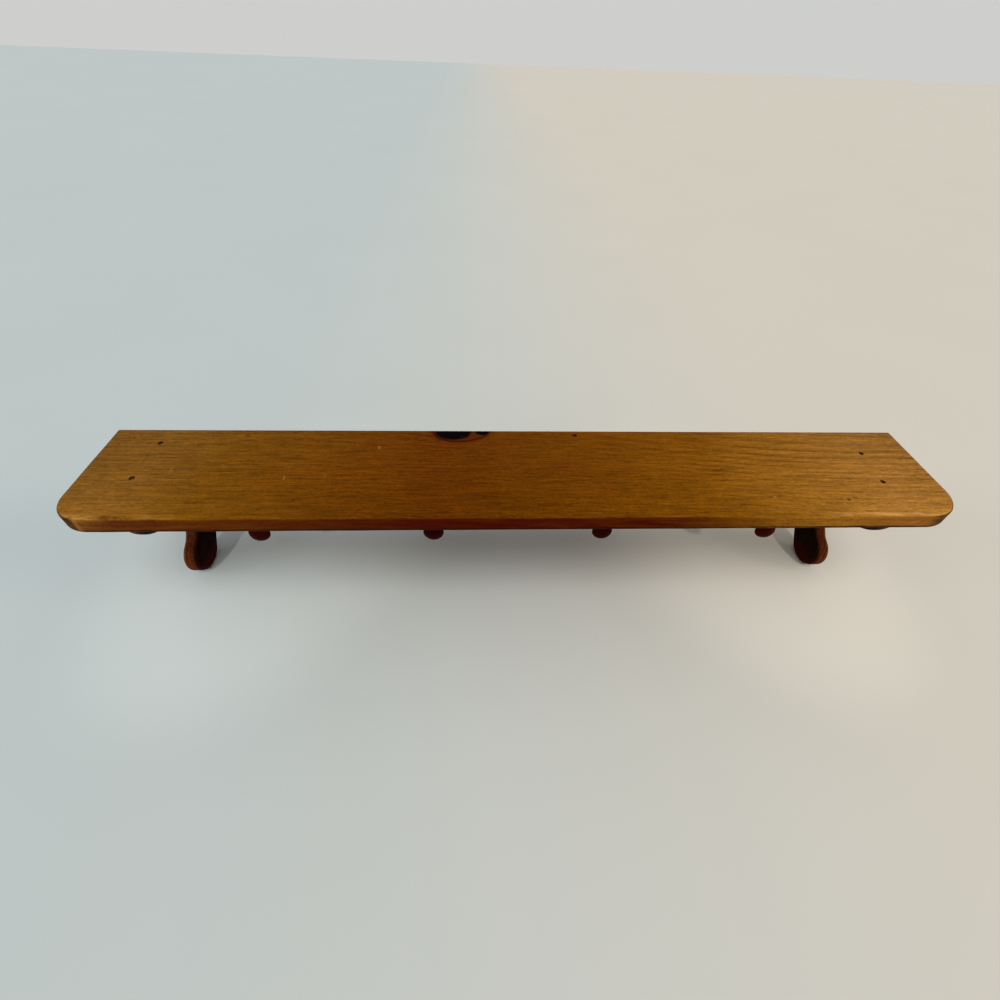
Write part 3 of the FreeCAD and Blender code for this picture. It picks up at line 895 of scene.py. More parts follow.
@dataclass(frozen=True)
class ShelfPine(StainedPine):
    """The shelf board's pine: its knot, worn edge, nail holes and painted light and shade.

    Attributes:
        edge: The stain's red and painted shade, laid along the front edge.
        top: The height of its upper face.
        underside: The height of its lower face.
        front: Where its front edge is.
        length: How long it is.
        marks: Patches and specks.
        nails: Where nails go through.
        knot: Where the black knot's middle is.
        small_knot: Where the small knot's middle is.
        tones: The spring wood's tone and painted light at shares of the length, left to right.
    """

    edge: Tone = paint(72, 7, 0)
    top: float = 0.0
    underside: float = 0.0
    front: float = 0.0
    length: float = 0.9144
    marks: tuple[Mark, ...] = ()
    nails: tuple[tuple[float, float], ...] = ()
    knot: tuple[float, float] = (-0.0760, 0.0)
    small_knot: tuple[float, float] = (-0.0425, -0.0025)
    tones: tuple[tuple[float, Tone], ...] = (
        (0.05, paint(115, 76, 23)),
        (0.14, paint(108, 67, 7)),
        (0.27, paint(104, 58, 2)),
        (0.39, paint(96, 47, 0)),
        (0.51, paint(101, 54, 0)),
        (0.62, paint(108, 60, 1)),
        (0.73, paint(122, 73, 4)),
        (0.84, paint(138, 90, 22)),
        (0.95, paint(144, 97, 37)),
    )

    def years(self, shader: Shader, axes: Axes, wander: Signal) -> Signal:
        """Counts the growth rings, which lie flatter at the right and bend round the knot.

        Args:
            shader: The material's graph.
            axes: The coordinates along, across and below the grain.
            wander: Soft noise about 0.

        Returns:
            The number of years, with fractions.
        """
        along, across, height = axes
        depth = shader.step(along, 0.0, self.length / 2) * -0.035 + 0.07
        below = depth - (self.top - height)
        out = across - self.pith[0]
        radius = (out * out + below * below) ** 0.5 + wander * 0.008
        tightness = shader.step(along, 0.34, -0.36) * 0.85 + 0.8
        aside = (along - self.knot[0]) / 0.026
        beyond = (across - self.knot[1]) / 0.024
        bend = shader.maths("EXPONENT", (aside * aside + beyond * beyond) * -1.0)
        return (radius * 7.0 + radius * radius * 700.0) * tightness - bend * 1.3

    def contrast(self, shader: Shader, axes: Axes) -> Signal:
        """Says how strongly the lines show: most at the right, behind the middle.

        Args:
            shader: The material's graph.
            axes: The coordinates along, across and below the grain.

        Returns:
            The strength.
        """
        along, across, _ = axes
        patches = shader.grained(axes, (6.0, 34.0, 34.0), 1.0)
        reach = shader.step(along, 0.02, 0.32) * -0.055 - 0.045
        strong = shader.step(along, 0.02, 0.2) * shader.step(across - reach, -0.03, 0.015)
        near_knot = shader.band(along, self.knot[0], 0.03, 0.05) * shader.step(across, -0.06, -0.01)
        base = strong * 0.45 + near_knot * 0.25 + 0.17
        return base * (shader.step(patches, 0.25, 0.7) * 0.7 + 0.3)

    def tone(self, shader: Shader, axes: Axes) -> Signal:
        """Gives the spring wood's tone, warm left, deep middle, pale right, with painted light.

        Args:
            shader: The material's graph.
            axes: The coordinates along, across and below the grain.

        Returns:
            The tone.
        """
        along, across, _ = axes
        drift = shader.grained(axes, (3.0, 11.0, 11.0)) - 0.5
        place = along / self.length + 0.5 + drift * 0.14
        colour = shader.add("ShaderNodeValToRGB", {"stops": self.tones}, {"Fac": place}, "Color")
        patches = shader.grained(axes, (7.0, 24.0, 24.0))
        # painted light that pales the front of both ends
        ends = shader.step(abs(along), 0.3, 0.44) * shader.step(across, -0.03, -0.125)
        middle = shader.step(abs(along + 0.03), 0.3, 0.03)
        middle = middle * (shader.step(across, -0.02, -0.13) - 0.5)
        return shader.shade(colour, patches * 0.4 + 0.82 + ends * 0.14 - middle * 0.12)

    def marked(self, shader: Shader, axes: Axes, colour: Signal) -> Signal:
        """Adds edge wear, painted light and shade, the specks, the nails' dark rims and the knots."""
        return BoardMarksAndShade(self, shader, axes, colour).laid()


class BoardMarksAndShade:
    """The marks of use and growth on the board, and its painted light and shade, laid over
    its plain wood one by one.

    Its own numbers are places along the board in metres, distances from an edge in
    millimetres, and shares.
    """

    def __init__(self, pine: ShelfPine, shader: Shader, axes: Axes, colour: Signal) -> None:
        """Starts from the plain wood, with the masks that several marks share.

        Args:
            pine: The board's finish.
            shader: The material's graph.
            axes: The coordinates along, across and below the grain.
            colour: The plain wood.
        """
        self.pine = pine
        self.shader = shader
        self.axes = axes
        self.along, self.across, self.height = axes
        self.colour = colour
        self.flank = shader.attribute("flank")
        self.front = self.near(self.across, pine.front, 3.0, 1.0) * shader.step(self.flank, 0.25, 0.9)
        self.wear_and_shading_noise = shader.step(shader.grained(axes, (70.0, 300.0, 300.0)), 0.4, 0.62)
        self.ragged = shader.grained(axes, (130.0, 260.0, 260.0), 3.0)

    def near(self, value: Signal, edge: float, far: float, close: float) -> Signal:
        """Rises from 0 to 1 between two distances from an edge, in millimetres."""
        return self.shader.step(value, edge + far * MM, edge + close * MM)

    def cover(self, share: Signal, tone: Tone) -> None:
        """Lays a tone over a share of what is there."""
        self.colour = self.shader.mix(share, self.colour, tone)

    def redden_and_shade_front(self) -> None:
        """Lays the stain's red and painted shade along the front edge, least at its ends."""
        step = self.shader.step
        # The front face gets the stain's red together with painted shade of a face turned from the
        # light
        red_shade_share = step(self.along, -0.47, -0.39) * 0.72 + step(self.along, -0.22, -0.08) * 0.24
        patches = step(self.shader.grained(self.axes, (20.0, 50.0, 260.0)), 0.3, 0.6) * 0.28 + 0.72
        self.cover(self.front * red_shade_share * step(self.along, 0.27, 0.13) * patches, self.pine.edge)

    def rub_and_highlight_crest(self) -> None:
        """Rubs the upper arris of the front edge pale near the left end, and lays a painted
        highlight along it near the right end.
        """
        shader, step, band = self.shader, self.shader.step, self.shader.band
        left = band(self.along, -0.425, 0.014, 0.008) + band(self.along, -0.358, 0.014, 0.012) * 0.4
        # right lays a painted highlight along the arris; left is wear
        right = step(self.along, 0.285, 0.37) * step(self.along, 0.446, 0.436) * 1.6
        arris = shader.larger(shader.attribute("arris"), 0.0)
        crest = shader.larger(arris, self.near(self.across, self.pine.front, 8.0, 4.0))
        crest = crest * step(self.flank, 0.6, 0.2) * self.near(self.height, self.pine.top, -4.0, -3.0)
        self.cover(crest * (left + right) * (self.wear_and_shading_noise * 0.75 + 0.25) * 0.42, paint(190, 142, 76))

    def shade_right_front(self) -> None:
        """Lays painted shade on the front edge at the right, and a pale slanting streak on it."""
        step = self.shader.step
        # painted shade on the front face at the right
        self.cover(self.front * step(self.along, 0.3, 0.39) * 0.55, paint(112, 60, 2))
        # a pale slanting streak on the front face
        streak_along, streak_height, slope = 0.402, 0.0357, 0.3
        pair = (self.along, self.height - self.along * slope)
        middle = (streak_along, streak_height - streak_along * slope)
        pale_streak = self.shader.away(pair, middle, (5.0 * MM, 1.1 * MM))
        self.cover(step(pale_streak, 1.3, 0.6) * self.front * 0.5, paint(168, 120, 60))

    def stain_left_front(self) -> None:
        """Lays two ragged dark patches on the front edge at the left."""
        band, along = self.shader.band, self.along
        strip = self.near(self.across, self.pine.front, 10.0, 3.0)
        strip = strip * self.near(self.height, self.pine.top, -7.0, -4.0)
        patch = band(along, -0.391, 0.010, 0.010) + band(along, -0.441, 0.006, 0.010) * 0.5
        stained = self.shader.step(self.ragged + patch * strip * 0.26, 0.62, 0.9)
        self.cover(stained * 0.45, paint(54, 24, 6))

    def paint_outline_shade(self) -> None:
        """Paints shade on the edges' foot, the board's ends and a line round the right end."""
        shader, step, along = self.shader, self.shader.step, self.along
        uneven = step(self.ragged, 0.25, 0.6) * 0.3
        # painted shade on the lower arris, the end faces and the right end's outline
        foot = self.near(self.height, self.pine.underside, 5.6, 3.8) * step(self.flank, 0.1, 0.5)
        foot = foot * (self.wear_and_shading_noise * 0.25 + 0.5 + step(along, 0.2, 0.35) * 0.25)
        ends = shader.larger(step(along, -0.4255, -0.4345) * 0.95, step(along, 0.413, 0.432))
        ends = ends * step(self.flank, 0.12, 0.75) * (uneven + 0.6)
        outline = step(along, 0.438, 0.449) * step(self.flank, 0.02, 0.22) * (uneven + 0.4)
        self.cover(shader.larger(foot, shader.larger(ends, outline)), paint(32, 12, 3))

    def lay_marks(self) -> None:
        """Lays the patches and specks."""
        for mark in self.pine.marks:
            reach = (mark.half_length * MM, mark.half_width * MM)
            away = self.shader.away(self.axes[:2], mark.place, reach)
            patch = self.shader.step(away, 1.0 + mark.soft, 1.0 - mark.soft)
            self.cover(patch * mark.share, mark.tone)

    def ring_nails(self) -> None:
        """Lays a dark ragged rim round each nail hole."""
        rough = self.shader.grained(self.axes, (420.0, 420.0, 420.0), 1.0) - 0.5
        for nail in self.pine.nails:
            away = self.shader.away(self.axes[:2], nail, (1.0, 1.0)) + rough * 1.2 * MM
            self.cover(self.shader.step(away, 3.6 * MM, 2.2 * MM) * 0.92, paint(34, 10, 12))

    def grow_knots(self) -> None:
        """Lays the black knot, the small one and their red ring, which narrow downwards."""
        shader, pine = self.shader, self.pine
        jag = shader.grained(self.axes, (90.0, 110.0, 60.0)) - 0.5
        depth = shader.step(self.height, pine.top - 1.0 * MM, pine.underside)
        ring_offset, left_reach, right_reach, forward_reach = 0.004, 0.0272, 0.0365, 0.0196
        aside = self.along - pine.knot[0] - ring_offset
        aside = shader.larger(aside * (-1 / left_reach), aside * (1 / right_reach))
        beyond = (self.across - pine.knot[1]) * (1 / forward_reach)
        away = (aside * aside + beyond * beyond) ** 0.5 + jag * 0.1 + depth * 0.7
        halo = shader.step(away, 1.45, 1.0) * 0.4 + shader.step(away, 1.0, 0.8) * 0.3
        self.cover(halo, paint(72, 24, 0))
        self.cover(shader.band(away, 1.0, 0.03, 0.09) * 0.85, paint(62, 4, 6))
        for knot, reach in ((pine.knot, (0.0212, 0.0165)), (pine.small_knot, (0.0076, 0.0050))):
            away = shader.away(self.axes[:2], knot, reach) + jag * 0.22 + depth * 0.8
            self.cover(shader.step(away, 1.12, 0.9), paint(4, 0, 0))

    def laid(self) -> Signal:
        """Lays every mark in order.

        Returns:
            The marked wood.
        """
        for lay in (
            self.redden_and_shade_front, self.rub_and_highlight_crest, self.shade_right_front, self.stain_left_front,
            self.paint_outline_shade, self.lay_marks, self.ring_nails, self.grow_knots,
        ):
            lay()
        return self.colour


@dataclass(frozen=True)
class BracketPine(StainedPine):
    """A bracket's pine, with painted shade on the inner face and a worn outer arris that
    carries a painted highlight.

    Attributes:
        outer: Where its outer face is.
    """

    outer: float = 0.0

    def marked(self, shader: Shader, axes: Axes, colour: Signal) -> Signal:
        """Lays painted shade on the inner face and a painted highlight on the worn outer arris, and
        reddens the inner foot with a painted glow.

        Args:
            shader: The material's graph.
            axes: The coordinates along, across and below the grain.
            colour: The plain wood.

        Returns:
            The marked wood.
        """
        height, _, _ = axes
        inward = abs(axes[2] - self.outer)
        # painted shade, nearly black, on the inner face
        colour = shader.shade(colour, 1.0 - shader.step(inward, 10.0 * MM, 16.5 * MM) * 0.9)
        # a painted highlight along the outer arris, with worn patches
        rubbed_highlight = abs(shader.attribute("arris")) * shader.step(inward, 8.0 * MM, 4.0 * MM)
        spots = shader.joined(*axes)
        chafe = shader.step(shader.noise(spots, 120.0), 0.42, 0.6)
        colour = shader.mix(rubbed_highlight * (chafe * 0.45 + 0.12), colour, paint(140, 96, 56))
        flecks = shader.step(shader.noise(spots, 420.0), 0.5, 0.62)
        colour = shader.shade(colour, 1.0 - flecks * 0.4)
        # a red painted glow on the inner foot
        glow = shader.step(height, -94.0 * MM, -112.0 * MM)
        glow = glow * shader.step(inward, 12.0 * MM, 16.0 * MM)
        return shader.mix(glow * 0.6, colour, paint(64, 9, 5))


@dataclass(frozen=True)
class TurnedWood:
    """The pegs' stained hardwood, with its fibres along the peg.

    Attributes:
        name: The material's name.
        pale: The tone between the pores.
        deep: The tone in the pores and the grooves.
        relief: How deep the turning marks and pores are.
        sheen: How strongly the varnish mirrors, as the shader's specular level.
    """

    name: str = "turned_peg_wood"
    pale: Tone = paint(60, 10, 6)
    deep: Tone = paint(26, 3, 2)
    relief: float = 0.1 * MM
    sheen: float = 0.012

    def make(self) -> bpy.types.Material:
        """Builds the material, whose pattern follows each peg.

        Returns:
            The material.
        """
        shader = Shader(self.name)
        tone = shader.attribute("peg_tone")
        across, along, below = shader.parts(shader.attribute("own_place", "Vector"))
        fibres = shader.joined(along + tone * 3.0, across, below)
        wander = shader.stretched(fibres, (12.0, 60.0, 60.0), 1.0) - 0.5
        rings = shader.maths("FRACT", (across + below * 0.4 + wander * 0.01) * 420.0)
        line = shader.step(rings, 0.3, 0.85) * shader.step(rings, 1.0, 0.9)
        streaks = shader.stretched(fibres, (30.0, 1100.0, 1100.0))
        pores = shader.step(shader.stretched(fibres, (160.0, 2200.0, 2200.0), 1.0), 0.6, 0.7)
        radius = (across * across + below * below) ** 0.5
        tool_marks = shader.maths("SINE", along * 9000.0) * 0.5 + 0.5
        tip = shader.step(along * -1.0, 0.064, 0.0725) * shader.step(radius, 0.0125, 0.004)
        base = shader.mix(line * 0.55 + pores * 0.3, self.pale, self.deep)
        colour = shader.shade(base, streaks * 0.4 + 0.7 + tone * 0.22 - tip * 0.16)
        height = streaks * 0.5 + tool_marks * 0.12 - pores * 0.4
        gloss = {"Specular IOR Level": self.sheen}
        return shader.finished(colour, streaks * 0.12 + 0.3, height, self.relief, gloss)


@dataclass(frozen=True)
class NailSteel:
    """Finishing nails, dulled by stain and a little rust.

    Attributes:
        name: The material's name.
        dull: The steel's tone.
        rust: The tone of the rusty patches.
        blackened: Where along the rail a nail sits in the knot, and is black.
        relief: How deep the rust's grain is.
    """

    name: str = "dull_nail_steel"
    dull: Tone = paint(70, 58, 54)
    rust: Tone = paint(64, 30, 16)
    blackened: float = -0.066
    relief: float = 0.06 * MM

    def make(self) -> bpy.types.Material:
        """Builds the material.

        Returns:
            The material.
        """
        shader = Shader(self.name)
        place = shader.place()
        along, _, _ = shader.parts(place)
        blotches = shader.step(shader.noise(place, 900.0, 3.0), 0.42, 0.6)
        colour = shader.mix(blotches, self.dull, self.rust)
        in_knot = shader.band(along, self.blackened, 4.0 * MM, 1.0 * MM)
        colour = shader.shade(colour, 1.0 - in_knot * 0.9)
        gloss = {"Metallic": 1.0 - blotches * 0.8}
        height = shader.noise(place, 2600.0)
        return shader.finished(colour, blotches * 0.35 + 0.4, height, self.relief, gloss)


@dataclass(frozen=True)
class PaleFloor:
    """A plain matt table top, which can't be seen from below.

    Attributes:
        name: The material's name.
        tone: Its tone at the left.
        warm_tone: Its tone at the right.
    """

    name: str = "pale_floor"
    tone: Tone = paint(190, 199, 198)
    warm_tone: Tone = paint(211, 204, 190)

    def make(self) -> bpy.types.Material:
        """Builds the material.

        Returns:
            The material.
        """
        shader = Shader(self.name)
        place = shader.place()
        sideways, _, _ = shader.parts(place)
        colour = shader.mix(shader.step(sideways, -0.6, 0.6), self.tone, self.warm_tone)
        colour = shader.shade(colour, 1.02 - shader.noise(place, 3.0) * 0.04)
        inputs = {"Base Color": colour, "Roughness": 0.7, "Specular IOR Level": 0.2}
        matt = shader.add("ShaderNodeBsdfPrincipled", {}, inputs, "BSDF")
        clear = shader.add("ShaderNodeBsdfTransparent", {}, {}, "BSDF")
        below = shader.add("ShaderNodeNewGeometry", {}, {}, "Backfacing")
        surface = shader.add("ShaderNodeMixShader", {}, {0: below, 1: matt, 2: clear}, "Shader")
        shader.node("ShaderNodeOutputMaterial", {}, {"Surface": surface})
        return shader.material


# The pieces


@dataclass(frozen=True)
class NailHole:
    """The hole of a sunk nail: a recess for its head, then a bore for its shank.

    Attributes:
        recess: The recess's radius.
        recess_depth: How deep the recess is.
        bore: The bore's radius.
    """

    recess: float = 1.75 * MM
    recess_depth: float = 3.0 * MM
    bore: float = 1.2 * MM

    def rings(self, thickness: float) -> tuple[tuple[float, float], ...]:
        """Gives the hole's radius all the way through a piece.

        Args:
            thickness: The piece's thickness.

        Returns:
            Its radius at each depth.
        """
        return (
            (self.recess, 0.0),
            (self.recess, self.recess_depth),
            (self.bore, self.recess_depth),
            (self.bore, thickness),
        )


@dataclass
class SubAssembly:
    """What every sub-assembly has."""

    def hand_over(
        self, piece: bpy.types.Object, slot: str, nodes: Sequence[str]
    ) -> bpy.types.Object:
        """Hides the CAD nodes that a finished piece takes the place of, and hangs it on the body.

        Args:
            piece: The piece.
            slot: Not used.
            nodes: The CAD nodes that it replaces.

        Returns:
            The piece.
        """
        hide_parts(*nodes)
        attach(piece, BODY)
        return piece


@dataclass
class ShelfBoard(SubAssembly):
    """The pine board, with rounded front corners and softened arrises."""

    length: float = 914.4 * MM
    depth: float = 139.7 * MM
    underside: float = 25.4 * MM
    top: float = 44.45 * MM
    left_corner: float = 33.3375 * MM
    right_corner: float = 38.1 * MM
    arris: float = 3.2 * MM
    unevenness: float = 0.55 * MM
    worn_place: float = -415 * MM
    worn_reach: float = 20 * MM
    extra_wear: float = 0.5 * MM
    nails: tuple[tuple[float, float], ...] = (
        (-0.3987, -0.0237),
        (-0.4018, -0.0812),
        (0.3972, -0.0401),
        (0.3938, -0.0883),
        (-0.066, -0.008),
        (0.066, -0.008),
    )

    def rounding(self, place: Vector, upper: bool) -> float:
        """Gives the arris radius, which hand sanding left uneven.

        Args:
            place: The point of the outline.
            upper: Whether it is the upper arris.

        Returns:
            The radius.
        """
        seed = 3.0 if upper else 11.0
        slow = noise.noise(Vector((place.x * 21, place.y * 21, seed)))
        quick = noise.noise(Vector((place.x * 90, place.y * 90, seed + 5)))
        radius = self.arris + self.unevenness * (slow + 0.4 * quick)
        if not upper:
            return radius
        aside = (place.x - self.worn_place) / self.worn_reach
        return radius + self.extra_wear * math.exp(-(aside ** 2 + (place.y + self.depth) ** 2))

    def track(self) -> Track:
        """Lays out the outline from the back left corner round the front to the back right.

        Returns:
            The outline.
        """
        half = self.length / 2
        left = Vector((self.left_corner - half, self.left_corner - self.depth))
        right = Vector((half - self.right_corner, self.right_corner - self.depth))
        return joined_up(
            run(Vector((-half, 0)), Vector((-half, left.y)), 14),
            arc(left, self.left_corner, math.pi, 1.5 * math.pi, 18),
            run(Vector((left.x, -self.depth)), Vector((right.x, -self.depth)), 110),
            arc(right, self.right_corner, 1.5 * math.pi, 2 * math.pi, 18),
            run(Vector((half, right.y)), Vector((half, 0)), 14),
        )

    def bores(self) -> tuple[Bore, ...]:
        """Lays out the nail holes, whose mouths the nail set bruised a little wider.

        Returns:
            The holes.
        """
        clean = NailHole().rings(self.top - self.underside)
        rings = ((2.15 * MM, 0.0), (1.8 * MM, 0.3 * MM), *clean[1:])
        return tuple(Bore(nail, rings) for nail in self.nails)

    def marks(self) -> tuple[Mark, ...]:
        """Lists the ticks, specks and patches on the board.

        Returns:
            The marks.
        """
        pale = paint(170, 122, 58)
        dark = paint(62, 24, 6)
        red = paint(96, 36, 8)
        return (
            Mark((-0.368, -0.068), 0.9, 4.5, 0.8, 0.25, pale),
            Mark((-0.158, -0.031), 1.6, 2.6, 0.8, 0.35, pale),
            Mark((-0.249, -0.081), 0.9, 3.2, 0.6, 0.45, pale),
            Mark((-0.249, -0.0645), 5.0, 1.0, 0.6, 0.2, pale),
            Mark((-0.208, -0.078), 1.2, 3.0, 0.8, 0.2, pale),
            Mark((-0.403, -0.0475), 0.7, 8.5, 0.8, 0.35, dark),
            Mark((-0.309, -0.010), 2.2, 2.2, 0.6, 0.7, paint(96, 24, 8)),
            Mark((0.340, -0.1157), 2.0, 1.8, 0.6, 0.75, dark),
            Mark((0.349, -0.1125), 3.2, 1.6, 0.6, 0.35, dark),
            Mark((0.270, -0.109), 4.2, 1.8, 0.6, 0.3, dark),
            Mark((0.262, -0.1115), 1.6, 1.4, 0.6, 0.5, pale),
            Mark((0.045, -0.063), 15.0, 8.0, 0.8, 0.34, red),
            Mark((0.065, -0.074), 9.0, 5.0, 0.8, 0.22, red),
            Mark((-0.4278, -0.1388), 2.0, 3.0, 0.9, 0.26, paint(176, 124, 62)),
        )

    def finish(self) -> ShelfPine:
        """Sets up the board's own finish.

        Returns:
            The finish.
        """
        return ShelfPine(
            name="stained_pine_board",
            grain=Grain.ALONG_RAIL,
            pith=(0.03, 0.0),
            early=paint(115, 76, 23),
            late=paint(80, 44, 6),
            top=self.top,
            underside=self.underside,
            front=-self.depth,
            length=self.length,
            nails=self.nails,
            marks=self.marks(),
        )

    def build(self) -> list[bpy.types.Object]:
        """Builds the board.

        Returns:
            The piece.
        """
        slab = Slab(
            facing=Facing.FLAT,
            track=self.track(),
            corners=[],
            low=self.underside,
            high=self.top,
            rounding=self.rounding,
            end_axis=0,
            bores=self.bores(),
            entry=self.top,
        )
        piece = slab.build("shelf_board_pine")
        piece.data.materials.append(self.finish().make())
        return [self.hand_over(piece, "shelf_pine", ("shelf_board",))]


@dataclass
class Brackets(SubAssembly):
    """The two scroll brackets: nose, hollow, foot and the cove behind it."""

    depth: float = 127 * MM
    top: float = 25.4 * MM
    thickness: float = 19.05 * MM
    middle: float = 396.875 * MM
    rail_height: float = 114.3 * MM
    height: float = 146.05 * MM
    nose: float = 44.45 * MM
    hollow_share: float = 1.023
    foot: float = 22 * MM
    foot_reach: float = 63.4 * MM
    foot_flat: float = 5.4 * MM
    rear_slope: float = 52.0
    cove: float = 14 * MM
    arris: float = 4.7625 * MM
    unevenness: float = 0.3 * MM
    nose_extra: float = 3.1 * MM
    top_nails: dict = field(default_factory=lambda: {
        -1: ((-1.8 * MM, -23.7 * MM), (-4.9 * MM, -81.2 * MM)),
        1: ((0.3 * MM, -40.1 * MM), (-3.1 * MM, -88.3 * MM)),
    })
    top_hole: tuple[tuple[float, float], ...] = (
        (1.2 * MM, 0.0),
        (1.2 * MM, 22.0 * MM),
        (0.4 * MM, 26.9 * MM),
    )
    top_hole_end: float = 27.2 * MM
    side_nails: tuple[tuple[float, float], ...] = (
        (-9.525 * MM, -3.175 * MM),
        (-9.525 * MM, -60.325 * MM),
    )

    def rounding(self, place: Vector, upper: bool) -> float:
        """Gives the arris radius, a little uneven from the sanding and larger on the nose.

        Args:
            place: The point of the outline.
            upper: Whether it is the arris of the high face.

        Returns:
            The radius.
        """
        seed = 7.0 if upper else 23.0
        uneven = self.unevenness * noise.noise(Vector((place.x * 40, place.y * 40, seed)))
        forward = min(max((-0.085 - place.x) / 0.02, 0.0), 1.0)
        high = min(max((place.y + 0.03) / 0.02, 0.0), 1.0)
        return self.arris + uneven + self.nose_extra * forward * high

    def track(self) -> Track:
        """Lays out the outline from the nose down to the foot and back to the wall.

        Returns:
            The outline, in which every arc runs smoothly into the next.
        """
        nose_centre = Vector((self.nose - self.depth, self.top))
        sole = self.top - self.height
        foot_centre = Vector((-self.foot_reach, sole + self.foot))
        gap = (foot_centre - nose_centre).length
        hollow = self.hollow_share / 2 * (gap - self.nose - self.foot)
        along = ((self.nose + hollow) ** 2 - (self.foot + hollow) ** 2 + gap ** 2) / (2 * gap)
        way = (foot_centre - nose_centre).normalized()
        across = Vector((way.y, -way.x))
        lift = math.sqrt((self.nose + hollow) ** 2 - along ** 2)
        hollow_centre = nose_centre + along * way + lift * across
        rear_centre = foot_centre + Vector((self.foot_flat, 0))
        slope = math.radians(self.rear_slope)
        rise_start = rear_centre + self.foot * Vector((math.sin(slope), -math.cos(slope)))
        under = self.top - self.rail_height
        rise = (under - self.cove + self.cove * math.cos(slope) - rise_start.y) / math.sin(slope)
        rise_end = rise_start + rise * Vector((math.cos(slope), math.sin(slope)))
        cove_centre = Vector((rise_end.x + self.cove * math.sin(slope), under - self.cove))
        to_hollow = bearing(nose_centre, hollow_centre) + math.tau
        to_foot = bearing(hollow_centre, foot_centre)
        from_hollow = bearing(foot_centre, hollow_centre)
        return joined_up(
            arc(nose_centre, self.nose, math.pi, to_hollow, 28),
            arc(hollow_centre, hollow, to_hollow - math.pi, to_foot, 24),
            arc(foot_centre, self.foot, from_hollow, 1.5 * math.pi, 18),
            run(Vector((foot_centre.x, sole)), Vector((rear_centre.x, sole)), 2),
            arc(rear_centre, self.foot, 1.5 * math.pi, 1.5 * math.pi + slope, 12),
            run(rise_start, rise_end, 4),
            arc(cove_centre, self.cove, slope + math.pi / 2, math.pi / 2, 12),
            run(Vector((cove_centre.x, under)), Vector((0, under)), 4),
        )

    def close_top(self, side: int, shell: Shell, rim: list) -> None:
        """Closes the top edge round the two nail holes from the board.

        Args:
            side: Which bracket it is: -1 for left and 1 for right.
            shell: The bracket's mesh.
            rim: The points round the top edge.
        """
        mouths = []
        for off_centre, y in self.top_nails[side]:
            middle = Vector((side * self.middle + off_centre, y))
            rings = [
                [
                    shell.point(Facing.FLAT.place(spot, self.top - depth))
                    for spot in circle(middle, radius, 20)
                ]
                for radius, depth in self.top_hole
            ]
            shell.tube(rings)
            tip = Facing.FLAT.place(middle, self.top - self.top_hole_end)
            shell.fan(rings[-1], shell.point(tip))
            mouths.append(rings[0])
        shell.cap(rim, *mouths)

    def finish(self, side: int, side_name: str) -> BracketPine:
        """Sets up the finish of one bracket.

        Args:
            side: Which bracket it is: -1 for left and 1 for right.
            side_name: The word for that side.

        Returns:
            The finish.
        """
        return BracketPine(
            name=f"stained_pine_bracket_{side_name}",
            grain=Grain.UPRIGHT,
            pith=(0.02 * side - 0.05, side * 0.31),
            early=paint(98, 44, 18),
            late=paint(70, 26, 9),
            ring_waves=240.0,
            shift=(0.0, 0.37 * side, 0.11),
            outer=side * (self.middle + self.thickness / 2),
        )

    def build(self) -> list[bpy.types.Object]:
        """Builds both brackets.

        Returns:
            The pieces.
        """
        made = []
        rings = NailHole().rings(self.thickness)
        for side, side_name in ((-1, "left"), (1, "right")):
            low = side * self.middle - self.thickness / 2
            high = side * self.middle + self.thickness / 2
            slab = Slab(
                facing=Facing.UPRIGHT,
                track=self.track(),
                corners=[Vector((0, self.top))],
                low=low,
                high=high,
                rounding=self.rounding,
                end_axis=1,
                bores=tuple(Bore(nail, rings) for nail in self.side_nails),
                entry=low if side < 0 else high,
                arc_steps=8,
            )
            piece = slab.build(f"bracket_{side_name}_pine", partial(self.close_top, side))
            piece.data.materials.append(self.finish(side, side_name).make())
            made.append(self.hand_over(piece, "bracket_pine", (f"bracket_{side_name}",)))
        return made


@dataclass
class PegRail(SubAssembly):
    """The rail behind the pegs, which keeps its CAD shape."""

    node: str = "peg_rail"

    def build(self) -> list[bpy.types.Object]:
        """Dresses the rail.

        Returns:
            The CAD object.
        """
        finish = StainedPine(
            name="stained_pine_rail",
            grain=Grain.ALONG_RAIL,
            pith=(0.06, 0.005),
            early=paint(112, 60, 16),
            late=paint(74, 34, 8),
            ring_waves=230.0,
            shift=(1.3, 0.2, 0.6),
        )
        material = finish.make()
        rail = bpy.data.objects[self.node]
        for slot in rail.material_slots:
            slot.material = material
        return [rail]


